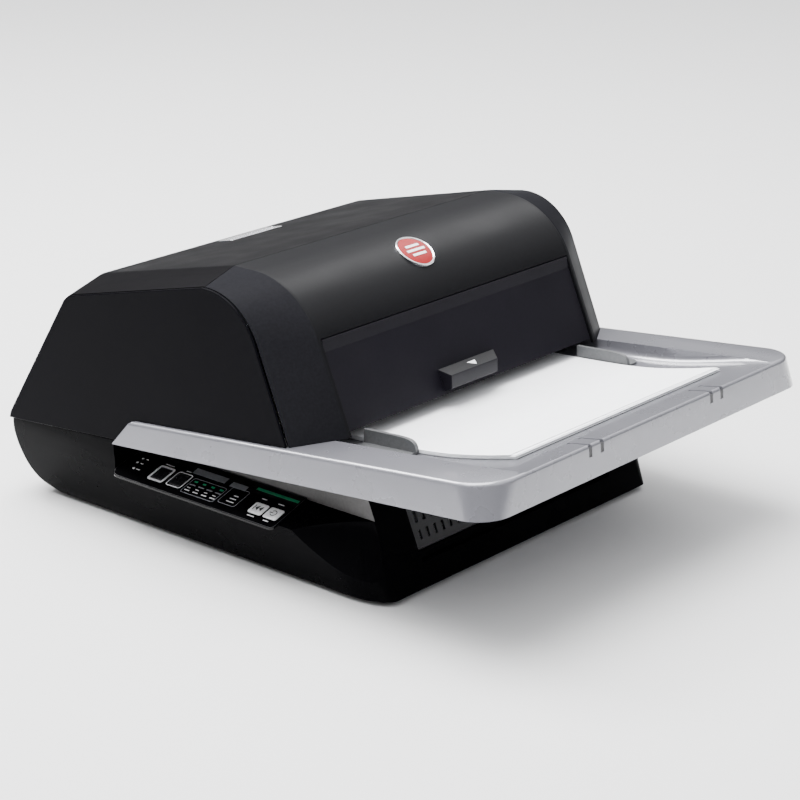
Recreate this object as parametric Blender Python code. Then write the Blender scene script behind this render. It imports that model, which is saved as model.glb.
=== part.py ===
"""Desktop document laminator with a sheet feeder and a wrap-around feed tray.

Sizes are in millimetres. X runs across the machine, Y to the rear and Z up. Y is counted from the
front bottom edge of the base and Z from the base's underside, and one parent empty moves the
whole machine to its frame, whose origin is on the floor under the middle of the tray and body.
"""
from math import atan2, cos, hypot, pi, radians, sin, tan

import bmesh
import bpy
from mathutils import Matrix, Vector

MM = 0.001
FOOT_HEIGHT = 5.0
FRAME_SHIFT_Y = -156.2
GAP = 0.3
WALL = 3.0

# Housing
BODY_HALF = 222.0
SHELL_HALF = 219.2
PANEL_IN = 219.5
HOOD_HALF = 175.0
FRONT_LEAN = 0.43
HOOD_TOP = 259.0
SEAM_Y = 188.5
SEAM_SIDE_Y = 180.0
COVER_REAR_Y = 354.0
BASE_HALF = 196.0
SIDE_TAPER_TOP = 80.0
REAR_Y = 450.3
FRONT_HALF = 177.5
FRONT_CORNER = 42.0

# Feed tray
TRAY_TOP_EDGE = (226.5, -136.5, 36.0)
TRAY_LOW_EDGE = (231.0, -138.5, 27.0)
TRAY_SLAB_END = 104.0
RECESS_HALF = 185.0
ARM_TOP_END = 275.0
ARM_LOW_END = 292.6

# Feed flap
FLAP_HALF = 171.0
FLAP_TOP_Z = 211.5
FLAP_LOW_Z = 136.0

# Control ledge on the left side
LEDGE_OUT_X = -222.0
LEDGE_IN_X = -175.5
LEDGE_OUT_Z = 51.0
LEDGE_SLOPE = 15.5 / 46.5
LEDGE_FRONT_Y = 104.0
LEDGE_REAR_Y = 309.0

# Running gear: shaft centres as (y, z), with each gear's tooth count
MODULE = 2.0
SHAFT_R = 4.0
PLATE_IN = 168.0
PLATE_OUT = 170.0
GEAR_IN = 173.0
GEAR_OUT = 180.0
HEAT_LOWER = (292.0, 88.0)
HEAT_UPPER = (292.0, 128.0)
PULL_LOWER = (345.0, 86.0)
PULL_UPPER = (345.0, 114.0)
PICK = (100.0, 137.4)
FEED = (150.0, 130.0)
PINCH = (150.0, 109.4)
HEAT_TEETH = 20
PULL_TEETH = 14
IDLER_TEETH = 16
FEED_TEETH = 12
PINION_TEETH = 12
SPOOL_Y = 229.0
SPOOL_UPPER_Z = 170.0
SPOOL_LOWER_Z = 62.0
CUTTER_Y = 378.0
CUTTER_PARK_X = -142.0
RACK_MODULE = 1.25
RACK_TEETH = 16
PINION_Y = 30.0
RACK_LOW_Z = 108.6
RACK_HIGH_Z = 113.6

COLOURS = {
    "housing": ((0.020, 0.020, 0.024), 0.38, 0.0),
    "hood": ((0.030, 0.030, 0.033), 0.25, 0.0),
    "tray_silver": ((0.47, 0.47, 0.49), 0.38, 0.5),
    "panel_gloss": ((0.006, 0.006, 0.007), 0.10, 0.0),
    "button": ((0.55, 0.55, 0.57), 0.35, 0.0),
    "dark_plastic": ((0.035, 0.035, 0.038), 0.55, 0.0),
    "paper": ((0.90, 0.90, 0.91), 0.80, 0.0),
    "rubber": ((0.03, 0.03, 0.03), 0.85, 0.0),
    "silicone": ((0.45, 0.12, 0.06), 0.60, 0.0),
    "steel": ((0.55, 0.56, 0.58), 0.30, 1.0),
    "bright_strip": ((0.80, 0.80, 0.82), 0.18, 1.0),
    "badge_red": ((0.55, 0.03, 0.03), 0.25, 0.0),
    "gear_plastic": ((0.75, 0.74, 0.68), 0.45, 0.0),
    "film": ((0.75, 0.80, 0.84), 0.12, 0.0),
    "board": ((0.03, 0.18, 0.08), 0.45, 0.0),
}


# ---------------------------------------------------------------- scene and objects

for old in list(bpy.data.objects):
    bpy.data.objects.remove(old, do_unlink=True)

parts = bpy.data.collections.new("sheet_fed_laminator")
cutters = bpy.data.collections.new("cutters")
bpy.context.scene.collection.children.link(parts)
bpy.context.scene.collection.children.link(cutters)

machine = bpy.data.objects.new("machine", None)
machine.location = (0.0, FRAME_SHIFT_Y * MM, FOOT_HEIGHT * MM)
parts.objects.link(machine)


def make_material(name):
    """A Principled material from the colour table."""
    colour, roughness, metallic = COLOURS[name]
    material = bpy.data.materials.new(name)
    material.use_nodes = True
    shader = material.node_tree.nodes["Principled BSDF"]
    shader.inputs["Base Color"].default_value = (*colour, 1.0)
    shader.inputs["Roughness"].default_value = roughness
    shader.inputs["Metallic"].default_value = metallic
    material.diffuse_color = (*colour, 1.0)
    return material


MATERIALS = {name: make_material(name) for name in COLOURS}


def make_object(name, bm, pivot, collection):
    """Turn a millimetre bmesh into an object in metres with its origin at the pivot."""
    bmesh.ops.recalc_face_normals(bm, faces=bm.faces)
    bmesh.ops.translate(bm, verts=bm.verts, vec=-Vector(pivot))
    bmesh.ops.scale(bm, verts=bm.verts, vec=(MM, MM, MM))
    mesh = bpy.data.meshes.new(name)
    bm.to_mesh(mesh)
    bm.free()
    thing = bpy.data.objects.new(name, mesh)
    thing.location = Vector(pivot) * MM
    thing.parent = machine
    collection.objects.link(thing)
    return thing


def part(name, bm, material, pivot=(0, 0, 0), smooth=False):
    """A solid of the machine."""
    thing = make_object(name, bm, pivot, parts)
    thing.data.materials.append(MATERIALS[material])
    if smooth:
        thing.data.shade_smooth()
        thing.data.set_sharp_from_angle(angle=radians(35))
    return thing


def cutter(name, bm):
    """A solid that only shapes others."""
    thing = make_object(name, bm, (0, 0, 0), cutters)
    thing.hide_render = True
    thing.display_type = 'WIRE'
    return thing


def combine(thing, other, operation):
    """Add a live Boolean to the object."""
    modifier = thing.modifiers.new(other.name, 'BOOLEAN')
    modifier.operation = operation
    modifier.object = other
    return thing


def cut(thing, *others):
    for other in others:
        combine(thing, other, 'DIFFERENCE')
    return thing


def join(thing, *others):
    for other in others:
        combine(thing, other, 'UNION')
    return thing


def keep(thing, other):
    return combine(thing, other, 'INTERSECT')


# ---------------------------------------------------------------- shapes, in millimetres

def prism(outline, axis, low, high):
    """Extrude a flat outline along an axis: (y, z) along X, (x, z) along Y, (x, y) along Z."""
    place = {
        'x': lambda a, b: (low, a, b),
        'y': lambda a, b: (a, low, b),
        'z': lambda a, b: (a, b, low),
    }[axis]
    bm = bmesh.new()
    face = bm.faces.new([bm.verts.new(place(*point[:2])) for point in outline])
    grown = bmesh.ops.extrude_face_region(bm, geom=[face])
    moved = [item for item in grown["geom"] if isinstance(item, bmesh.types.BMVert)]
    travel = Vector([high - low if axis == letter else 0.0 for letter in 'xyz'])
    bmesh.ops.translate(bm, verts=moved, vec=travel)
    return bm


def box(low, high):
    """A box between two corners."""
    bm = bmesh.new()
    bmesh.ops.create_cube(bm, size=1.0)
    size = [b - a for a, b in zip(low, high)]
    middle = [(a + b) / 2 for a, b in zip(low, high)]
    bmesh.ops.scale(bm, verts=bm.verts, vec=size)
    bmesh.ops.translate(bm, verts=bm.verts, vec=middle)
    return bm


def cylinder(axis, centre, radius, low, high, steps=24):
    """A cylinder along X, Y or Z; centre holds the two other coordinates in X, Y, Z order."""
    bm = bmesh.new()
    bmesh.ops.create_cone(bm, cap_ends=True, segments=steps, radius1=radius, radius2=radius,
                          depth=high - low)
    turn = {'x': Matrix.Rotation(pi / 2, 4, 'Y'), 'y': Matrix.Rotation(pi / 2, 4, 'X'),
            'z': Matrix.Identity(4)}[axis]
    bmesh.ops.transform(bm, matrix=turn, verts=bm.verts)
    middle = list(centre)
    middle.insert('xyz'.index(axis), (low + high) / 2)
    bmesh.ops.translate(bm, verts=bm.verts, vec=middle)
    return bm


def lathe_x(profile, centre, steps=20):
    """Turn a profile of (x, radius) points, closed on the axis, about a line along X."""
    bm = bmesh.new()
    y, z = centre
    verts = [bm.verts.new((x, y, z + radius)) for x, radius in profile]
    edges = [bm.edges.new(pair) for pair in zip(verts, verts[1:])]
    bmesh.ops.spin(bm, geom=verts + edges, cent=(0, y, z), axis=(1, 0, 0), angle=2 * pi,
                   steps=steps, use_merge=True)
    bmesh.ops.remove_doubles(bm, verts=bm.verts, dist=0.001)
    return bm


def loft(rings):
    """Skin between matching rings of points, with flat ends."""
    bm = bmesh.new()
    rows = [[bm.verts.new(point) for point in ring] for ring in rings]
    for row, following in zip(rows, rows[1:]):
        for i in range(len(row)):
            j = (i + 1) % len(row)
            bm.faces.new((row[i], row[j], following[j], following[i]))
    bm.faces.new(rows[0])
    bm.faces.new(rows[-1])
    return bm


def slab(outline, low, high):
    """A plate with a plan outline, between two surfaces given as functions of x and y."""
    return loft([[(x, y, low(x, y)) for x, y in outline], [(x, y, high(x, y)) for x, y in outline]])


def rounded(corners):
    """A closed outline from (a, b), or (a, b, radius, steps) where the corner is an arc."""
    outline = []
    for i, corner in enumerate(corners):
        here = Vector(corner[:2])
        if len(corner) == 2:
            outline.append(tuple(here))
            continue
        radius, steps = corner[2:]
        before = (Vector(corners[i - 1][:2]) - here).normalized()
        after = (Vector(corners[(i + 1) % len(corners)][:2]) - here).normalized()
        half = before.angle(after) / 2
        centre = here + (before + after).normalized() * radius / sin(half)
        start = here + before * radius / tan(half) - centre
        end = here + after * radius / tan(half) - centre
        sweep = atan2(start.x * end.y - start.y * end.x, start.dot(end))
        for k in range(steps + 1):
            turned = Matrix.Rotation(sweep * k / steps, 2) @ start
            outline.append(tuple(centre + turned))
    return outline


def inset(outline, distance):
    """Move every side of a closed outline inwards by a distance."""
    count = len(outline)
    area = sum(outline[i - 1][0] * outline[i][1] - outline[i][0] * outline[i - 1][1]
               for i in range(count))
    side = 1 if area > 0 else -1
    moved = []
    for i in range(count):
        here = Vector(outline[i])
        before = (here - Vector(outline[i - 1])).normalized()
        after = (Vector(outline[(i + 1) % count]) - here).normalized()
        normal_before = Vector((-before.y, before.x)) * side
        normal_after = Vector((-after.y, after.x)) * side
        middle = (normal_before + normal_after).normalized()
        moved.append(tuple(here + middle * distance / middle.dot(normal_before)))
    return moved


def mirrored(half):
    """A closed plan outline from its right half, listed from front to rear."""
    return half + [(-x, y) for x, y in reversed(half)]


# ---------------------------------------------------------------- shared surfaces

def split_z(y):
    """Height of the plane that parts the base from the upper housing; it is the tray's underside."""
    return 73.5 + 0.083 * (440.7 - y)


def tray_top_z(y):
    """Height of the tray rim's flat top, which rises towards the front."""
    return 151.5 - 0.101 * (y + 136.5)


def ledge_z(x):
    """Height of the control ledge, which rises inwards from its ridge."""
    return LEDGE_OUT_Z + LEDGE_SLOPE * (x - LEDGE_OUT_X)


def side_x(z):
    """Half width of the base: upright above the taper and drawn in below it."""
    return BODY_HALF - (BODY_HALF - BASE_HALF) * max(0.0, SIDE_TAPER_TOP - z) / SIDE_TAPER_TOP


HOOD_CENTRE = rounded([(FRONT_LEAN * 60, 60), (FRONT_LEAN * HOOD_TOP, HOOD_TOP, 80, 8),
                       (SEAM_Y, HOOD_TOP), (360, 219.5, 10, 2), (443, 80), (447, 66)])
HOOD_SIDE = rounded([(56.6, 60), (137.3, 252, 62, 8), (181.6, 250.8), (356.1, 209.3, 20, 2),
                     (442, 80), (446.5, 66)])
FLOOR_CURVE = [(-134.5, 150.7), (-103, 144.6), (-68, 136.2), (-32, 128.6), (4, 123.8),
               (60, 119.6), (TRAY_SLAB_END + 1, 117.5)]


def across(x, outline):
    """Put a (y, z) outline at a station along X."""
    return [(x, y, z) for y, z in outline]


def housing(name, depth, half=BODY_HALF):
    """The upper housing as one solid, its skin moved inwards by a depth."""
    side = inset(HOOD_SIDE, depth)
    centre = inset(HOOD_CENTRE, depth)
    return cutter(name, loft([across(-half, side), across(-HOOD_HALF, centre),
                              across(HOOD_HALF, centre), across(half, side)]))


def seam_region(name, centre, side):
    """A region cutter whose (y, z) outline changes from the middle to the sides."""
    return cutter(name, loft([across(-SHELL_HALF, side), across(-HOOD_HALF, centre),
                              across(HOOD_HALF, centre), across(SHELL_HALF, side)]))


def shell_piece(name, region, material):
    """The part of the housing's skin that lies in a region."""
    side = HOOD_SIDE
    piece = part(name, loft([across(-BODY_HALF, side), across(-HOOD_HALF, HOOD_CENTRE),
                             across(HOOD_HALF, HOOD_CENTRE), across(BODY_HALF, side)]), material)
    cut(piece, HOUSING_HOLLOW)
    return keep(piece, region)


HOUSING_HOLLOW = housing("housing_hollow", WALL, BODY_HALF + 4)


# ---------------------------------------------------------------- upper housing

def front_cowl():
    """Hood with the two bands that run down beside the feed flap."""
    def outline(seam):
        return [(0, tray_top_z(0) + GAP), (0, 300), (seam - GAP, 300), (seam - GAP, 200),
                (130, tray_top_z(130) + GAP)]
    region = seam_region("cowl_region", outline(SEAM_Y), outline(SEAM_SIDE_Y))
    cowl = shell_piece("front_cowl", region, "hood")
    window = cutter("flap_window", box((-FLAP_HALF - 0.5, -10, 100),
                                       (FLAP_HALF + 0.5, 130, FLAP_TOP_Z + 0.5)))
    return cut(cowl, window)


def top_cover():
    """Film-loading cover with a finger recess near its rear edge."""
    def outline(seam):
        return [(seam + GAP, 300), (COVER_REAR_Y, 300), (COVER_REAR_Y, 180), (seam + GAP, 200)]
    region = seam_region("cover_region", outline(SEAM_Y), outline(SEAM_SIDE_Y))
    cover = shell_piece("top_cover", region, "hood")
    return cut(cover, cutter("grip_recess", strip_bm(35.0, 330.0, 351.0, -1.6, 10.0)))


def cover_surface_z(y):
    """Height of the top cover's plateau."""
    return HOOD_TOP - (y - SEAM_Y) * (HOOD_TOP - 219.5) / (360 - SEAM_Y)


def strip_bm(half, front, rear, low, high):
    """A strip along the cover's plateau, from low to high above its surface."""
    outline = [(front, cover_surface_z(front) + low), (rear, cover_surface_z(rear) + low),
               (rear, cover_surface_z(rear) + high), (front, cover_surface_z(front) + high)]
    return prism(outline, 'x', -half, half)


def cover_grip():
    """Bright finger strip in the cover's recess."""
    return part("cover_grip", strip_bm(34.6, 330.4, 350.6, -1.3, 0.4), "bright_strip")


def rear_cover():
    """Sloping rear housing with the exit slot."""
    rear = 470.0
    outline = [(COVER_REAR_Y + GAP, 300), (rear, 300), (rear, split_z(rear) + GAP),
               (COVER_REAR_Y + GAP, split_z(COVER_REAR_Y) + GAP)]
    cover = shell_piece("rear_cover", seam_region("rear_region", outline, outline), "housing")
    return cut(cover, cutter("exit_slot", box((-160, 400, 86), (160, 460, 101))))


def side_panel(name, sign):
    """Flat side of the upper housing; its front foot stands behind the tray's slab."""
    top = HOOD_SIDE[1:-1]
    foot = TRAY_SLAB_END + 0.5
    outline = [(foot, split_z(foot) + GAP), (foot, tray_top_z(foot) + GAP),
               (86.0, tray_top_z(86.0) + GAP)] + top + [(444.0, split_z(444.0) + GAP)]
    low, high = sorted((sign * PANEL_IN, sign * BODY_HALF))
    return part(name, prism(outline, 'x', low, high), "housing")


def feed_flap():
    """Door over the sheet feed, hung from its top edge."""
    region = cutter("flap_region", box((-FLAP_HALF, -10, FLAP_LOW_Z), (FLAP_HALF, 130, FLAP_TOP_Z)))
    flap = shell_piece("feed_flap", region, "hood")
    edge = FRONT_LEAN * 157
    outline = [(edge - GAP, 157.5), (edge - 12, 156.2), (edge - 15.5, 151.5), (edge - 14.5, 144.0),
               (FRONT_LEAN * 138.5 - GAP, 138.5)]
    part("flap_pull", prism(outline, 'x', -44, 34), "dark_plastic")
    return flap


def badge():
    """Plain round badge that follows the hood's curve."""
    angle = radians(60.5)
    centre = Vector((-10.0, 164.05 - 80 * cos(angle), 179 + 80 * sin(angle)))
    bm = cylinder('z', (0, 0), 20.3, -8, 8, 32)
    turn = Matrix.Rotation(pi / 2 - angle, 4, 'X')
    bmesh.ops.transform(bm, matrix=Matrix.Translation(centre) @ turn, verts=bm.verts)
    disc = part("badge", bm, "badge_red")
    keep(disc, housing("badge_outer", -1.8))
    return cut(disc, housing("badge_inner", -GAP))


# ---------------------------------------------------------------- feed tray and its fittings

def feed_tray():
    """Silver tray: a dished slab in front and two thin arms along the machine's sides."""
    def outline(edge, arm_end):
        half, front, corner = edge
        arc = rounded([(half - 80, front), (half, front, corner, 6), (half, 0)])[1:-1]
        inner = BODY_HALF + GAP
        return mirrored(arc + [(half, arm_end), (inner, arm_end), (inner, TRAY_SLAB_END)])
    low = [(x, y, split_z(y)) for x, y in outline(TRAY_LOW_EDGE, ARM_LOW_END)]
    high = [(x, y, tray_top_z(y)) for x, y in outline(TRAY_TOP_EDGE, ARM_TOP_END)]
    tray = part("feed_tray", loft([low, high]), "tray_silver")
    recess = [(FLOOR_CURVE[0][0], 170)] + FLOOR_CURVE + [(TRAY_SLAB_END + 1, 170)]
    cut(tray, cutter("tray_recess", prism(recess, 'x', -RECESS_HALF, RECESS_HALF)))
    under = [(y, z - WALL) for y, z in FLOOR_CURVE[1:]]
    under = [(-124, 90), (-124, under[0][1] + 1)] + under
    under = under[:-1] + [(TRAY_SLAB_END - 3, under[-1][1]), (TRAY_SLAB_END - 3, 90)]
    cut(tray, cutter("tray_underside", prism(under, 'x', -RECESS_HALF + 3.5, RECESS_HALF - 3.5)))
    side = [(-100, 90), (-100, tray_top_z(-100) - WALL), (96, tray_top_z(96) - WALL), (96, 90)]
    for sign in (-1, 1):
        low_x, high_x = sorted((sign * (RECESS_HALF + 3.5), sign * (BODY_HALF + 0.5)))
        cut(tray, cutter(f"tray_side_pocket_{sign}", prism(side, 'x', low_x, high_x)))
        slot_low, slot_high = sorted((sign * 160, sign * 62))
        slot_y = PINION_Y + sign * RACK_MODULE * RACK_TEETH / 2 + sign * 3.0
        cut(tray, cutter(f"guide_slot_{sign}", box((slot_low, slot_y - 2, 100),
                                                   (slot_high, slot_y + 2, 140))))
        for x in (80, 96):
            cut(tray, cutter(f"rim_notch_{sign}_{x}", notch_bm(sign * x)))
    return tray


def notch_bm(x):
    """Gauge notch over the tray's front edge."""
    outline = [(-145, 140.5), (-134.2, 140.5), (-133, 149.2), (-113, 146.0), (-113, 160), (-145, 160)]
    return prism(outline, 'x', x - 1.5, x + 1.5)


def paper_guides():
    """Two side guides whose racks cross under the tray and mesh with one pinion."""
    pitch = pi * RACK_MODULE
    radius = RACK_MODULE * RACK_TEETH / 2
    low, high = RACK_LOW_Z, RACK_HIGH_Z
    for name, sign in (("left_paper_guide", -1), ("right_paper_guide", 1)):
        wall = [(0, floor_z(0) + 0.4), (60, floor_z(60) + 0.4), (60, 134.0), (20, 136.5),
                (8, 136.0), (2, 132.5)]
        inner, outer = sorted((sign * 149.2, sign * 153.0))
        guide = part(name, prism(wall, 'x', inner, outer), "dark_plastic")
        slot_y = PINION_Y + sign * (radius + 3.0)
        inner, outer = sorted((sign * 150.0, sign * 152.8))
        post = cutter(f"{name}_post", box((inner, slot_y - 1.5, low), (outer, slot_y + 1.5, 128)))
        foot = cutter(f"{name}_foot", foot_bm(sign))
        # The pinion has a tooth on each rack's side at rest, so the rack has a gap at the middle.
        # The teeth run past the middle on both sides, to suit wide and narrow sheets.
        outline = [(sign * 152.8, slot_y + sign * 1.5), (sign * 152.8, rack_root(sign))]
        for k in reversed(range(-2, 22)):
            outline += rack_tooth(sign * (k - 0.5) * pitch, sign)
        outline += [(-sign * 13.0, rack_root(sign)), (-sign * 13.0, slot_y + sign * 1.5)]
        rack = cutter(f"{name}_rack", prism(outline, 'z', low, high))
        join(guide, foot, post, rack)
    part("guide_pinion", gear_bm(RACK_TEETH, RACK_MODULE, (0.0, PINION_Y), 'z', low, high,
                                 0.0), "gear_plastic", (0.0, PINION_Y, 0.0))


def foot_bm(sign):
    """Flat foot of a guide, outside its wall."""
    inner, outer = sorted((sign * 152.0, sign * 172.0))
    outline = [(4, floor_z(4) + 0.4), (60, floor_z(60) + 0.4), (60, floor_z(60) + 2.2),
               (4, floor_z(4) + 2.2)]
    return prism(outline, 'x', inner, outer)


def rack_root(sign):
    """Y of a rack's root line, on the given side of the pinion."""
    radius = RACK_MODULE * RACK_TEETH / 2
    return PINION_Y + sign * (radius + 1.25 * RACK_MODULE)


def rack_tooth(centre, sign):
    """Four points of one rack tooth, listed against the rack's direction."""
    root = rack_root(sign)
    tip = root - sign * 2.0 * RACK_MODULE
    pitch = pi * RACK_MODULE
    wide, narrow = 0.27 * pitch, 0.12 * pitch
    return [(centre + sign * wide, root), (centre + sign * narrow, tip),
            (centre - sign * narrow, tip), (centre - sign * wide, root)]


def floor_z(y):
    """Height of the tray's floor."""
    for (y0, z0), (y1, z1) in zip(FLOOR_CURVE, FLOOR_CURVE[1:]):
        if y0 <= y <= y1:
            return z0 + (z1 - z0) * (y - y0) / (y1 - y0)
    return FLOOR_CURVE[-1][1]


def paper_stack():
    """Loaded sheets, which take the floor's curve."""
    points = [-100, -68, -32, 4, 60, 102]
    low = [(y, floor_z(y) + GAP) for y in points]
    high = [(y, floor_z(y) + 4.0) for y in reversed(points)]
    return part("paper_stack", prism(low + high, 'x', -148.5, 148.5), "paper")


# ---------------------------------------------------------------- base

def plan(z, rear, depth=0.0):
    """Plan outline of the base at a height, moved inwards by a depth."""
    wide, front = side_x(z), FRONT_LEAN * z
    half = [(FRONT_HALF, front)]
    for k in range(1, 5):
        angle = pi / 2 * k / 4
        half.append((FRONT_HALF + (wide - FRONT_HALF) * sin(angle),
                     front + FRONT_CORNER * (1 - cos(angle))))
    half += rounded([(wide, front + FRONT_CORNER), (wide, rear, 4, 2), (0, rear)])[1:-1]
    return inset(mirrored(half), depth) if depth else mirrored(half)


BASE_LEVELS = [(0, 410), (6, 431.6), (17.5, 444.2), (34, 449.6), (52, REAR_Y), (70.7, 445.4),
               (125, 420)]


def scoop_bm(grow):
    """Space over the control ledge, open to the front and to the left."""
    def ring(y, wall_x, lean=0.0):
        wall_x += grow
        top = split_z(y) - WALL - 0.3 + (40 if grow else 0)
        return [(-245, y, ledge_z(-245) - 2.3 - grow), (wall_x, y, ledge_z(wall_x) - 2.3 - grow),
                (wall_x, y - lean, top), (-245, y - lean, top)]
    return loft([ring(-60, LEDGE_IN_X), ring(LEDGE_REAR_Y - 16 + grow, LEDGE_IN_X),
                 ring(LEDGE_REAR_Y - 5 + grow, LEDGE_IN_X - 7, 5),
                 ring(LEDGE_REAR_Y + 0.5 + grow, LEDGE_IN_X - 20, 8)])


def sweep_bm(grow):
    """Concave flank in front of the ledge, full at ledge height and fading out at the bottom."""
    def ring(z, reach, power):
        front = FRONT_LEAN * z
        points = []
        for k in range(9):
            t = k / 8
            y = front - 4 + (LEDGE_FRONT_Y + grow - front + 4) * t
            points.append((-176.3 - reach * t ** power + grow, y, z))
        return points + [(-260, LEDGE_FRONT_Y + grow, z), (-260, -60, z), (-176.3 + grow, -60, z)]
    return loft([ring(-1 - grow, 66, 0.5), ring(54, 47, 1.6), ring(66 + 60 * (grow > 0), 47, 1.6)])


def base_tub():
    """Lower housing, open on top, with the control ledge cut into its left side."""
    rings = [[(x, y, z) for x, y in plan(z, rear)] for z, rear in BASE_LEVELS]
    tub = part("base_tub", loft(rings), "housing")
    hollow = [[(x, y, max(z, WALL)) for x, y in plan(z, rear, WALL)] for z, rear in BASE_LEVELS]
    hollow[0] = [(x, y, WALL) for x, y in plan(WALL, 424, WALL)]
    hollow[-1] = [(x, y, 140) for x, y, z in hollow[-1]]
    space = cutter("base_hollow", loft(hollow))
    cut(space, cutter("ledge_wall_solid", scoop_bm(WALL)), cutter("flank_wall_solid", sweep_bm(WALL)))
    cut(tub, space, cutter("ledge_space", scoop_bm(0.0)), cutter("flank_space", sweep_bm(0.0)))
    top = [(-60, split_z(-60) - GAP), (470, split_z(470) - GAP), (470, 200), (-60, 200)]
    cut(tub, cutter("split_region", prism(top, 'x', -260, 260)))
    cut(tub, cutter("grille_opening", box((-136, -10, 28), (136, 60, 92))))
    cut(tub, cutter("intake_slot", box((-136, -10, 19.5), (136, 30, 23.5))))
    for name, x, y, _ in BUTTONS:
        cut(tub, cutter(f"{name}_well", button_bm(x, y, -7.0, 6.0, 0.4)))
    cut(tub, cutter("inlet_opening", box((-166.4, 430, 18), (-137.6, 470, 40))))
    cut(tub, cutter("switch_opening", box((-125.4, 430, 21.2), (-104.6, 470, 38.8))))
    for k in range(9):
        x = -40 + 10 * k
        cut(tub, cutter(f"fan_slot_{k}", box((x - 2, 430, 18), (x + 2, 470, 58))))
    return tub


def front_grille():
    """Air grille set into the base's front face."""
    def front(z):
        return FRONT_LEAN * z
    low, high, depth = 28.4, 91.6, 3.0
    outline = [(front(low) + depth, low), (front(low) + depth + 2.5, low),
               (front(high) + depth + 2.5, high), (front(high) + depth, high)]
    grille = part("front_grille", prism(outline, 'x', -135.6, 135.6), "dark_plastic")
    for k in range(26):
        x = -125 + 10 * k
        cut(grille, cutter(f"grille_slot_{k}", box((x - 2, 0, 49), (x + 2, 60, 85))),
            cutter(f"grille_dash_{k}", box((x - 1.5, 0, 35), (x + 1.5, 60, 43))))
    return grille


# Each button: name, x and y of its centre, and its size along x and y.
BUTTONS = [
    ("mode_button", -203.0, 259.0, (15.0, 14.0)),
    ("stop_button", -203.0, 236.0, (15.0, 14.0)),
    ("feed_key", -205.0, 136.0, (13.0, 15.6)),
    ("power_key", -205.0, 118.0, (13.0, 15.6)),
]


def button_bm(x, y, low, high, grow):
    """A button block between two depths, measured from the ledge's surface."""
    size = next(entry[3] for entry in BUTTONS if entry[1:3] == (x, y))
    half_x, half_y = size[0] / 2 + grow, size[1] / 2 + grow
    outline = [(x - half_x, y - half_y), (x + half_x, y - half_y), (x + half_x, y + half_y),
               (x - half_x, y + half_y)]
    return slab(outline, lambda a, b: ledge_z(a) + low, lambda a, b: ledge_z(a) + high)


def control_panel():
    """Glossy panel plate on the ledge, with a hole for each button."""
    outline = rounded([(LEDGE_OUT_X + 0.6, LEDGE_FRONT_Y + 0.6), (LEDGE_IN_X - 0.4, LEDGE_FRONT_Y + 0.6),
                       (LEDGE_IN_X - 0.4, LEDGE_REAR_Y - 0.5, 25, 4),
                       (LEDGE_OUT_X + 0.6, LEDGE_REAR_Y - 0.5, 10, 3)])
    panel = part("control_panel", slab(outline, lambda x, y: ledge_z(x) - 2.0,
                                       lambda x, y: ledge_z(x)), "panel_gloss")
    for name, x, y, _ in BUTTONS:
        cut(panel, cutter(f"{name}_hole", button_bm(x, y, -9.0, 9.0, 0.4)))
        part(name, button_bm(x, y, -3.4, 0.6, 0.0), "button", (x, y, ledge_z(x)))
    return panel


def feet():
    """Rubber feet under the four corners."""
    for name, x, y in (("foot_front_left", -160, 40), ("foot_front_right", 160, 40),
                       ("foot_rear_left", -170, 385), ("foot_rear_right", 170, 385)):
        part(name, cylinder('z', (x, y), 10, -FOOT_HEIGHT, -GAP, 16), "rubber")


# ---------------------------------------------------------------- running gear

def gear_bm(teeth, module, centre, axis, low, high, phase):
    """A spur gear with slim straight-sided teeth; phase is the angle of one tooth's middle."""
    radius = module * teeth / 2
    pitch = 2 * pi / teeth
    outline = []
    for k in range(teeth):
        middle = phase + k * pitch
        for offset, reach in ((-0.27, radius - 1.2 * module), (-0.12, radius + 0.8 * module),
                              (0.12, radius + 0.8 * module), (0.27, radius - 1.2 * module)):
            angle = middle + offset * pitch
            outline.append((centre[0] + reach * cos(angle), centre[1] + reach * sin(angle)))
    return prism(outline, axis, low, high)


def gear(name, teeth, centre, low, high, phase, bore, material="gear_plastic"):
    """A spur gear on a shaft along X."""
    wheel = part(name, gear_bm(teeth, MODULE, centre, 'x', low, high, phase), material,
                 (0.0, *centre))
    if bore:
        cut(wheel, cutter(f"{name}_bore", cylinder('x', centre, bore, low - 5, high + 5, 12)))
    return wheel


def next_phase(phase, teeth, centre, other_teeth, other_centre):
    """Phase of a second gear that meshes with a first."""
    line = atan2(other_centre[1] - centre[1], other_centre[0] - centre[0])
    pitches = (line - phase) * teeth / (2 * pi)
    return line + pi + (pitches - 0.5) * 2 * pi / other_teeth


def beside(first, first_reach, second, second_reach, side):
    """Centre of an idler at given distances from two shafts, on one side of their line."""
    dy, dz = second[0] - first[0], second[1] - first[1]
    gap = hypot(dy, dz)
    along = (first_reach ** 2 - second_reach ** 2 + gap ** 2) / (2 * gap)
    off = (first_reach ** 2 - along ** 2) ** 0.5 * side
    return (first[0] + (dy * along - dz * off) / gap, first[1] + (dz * along + dy * off) / gap)


PULL_IDLER = beside(HEAT_LOWER, HEAT_TEETH + IDLER_TEETH, PULL_LOWER, PULL_TEETH + IDLER_TEETH, -1)
FEED_IDLER = beside(PICK, FEED_TEETH + IDLER_TEETH, FEED, FEED_TEETH + IDLER_TEETH, 1)
MOTOR_IDLER = (HEAT_LOWER[0] + 36 * cos(radians(240)), HEAT_LOWER[1] + 36 * sin(radians(240)))
MOTOR = (MOTOR_IDLER[0] + 28 * cos(radians(300)), MOTOR_IDLER[1] + 28 * sin(radians(300)))


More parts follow.
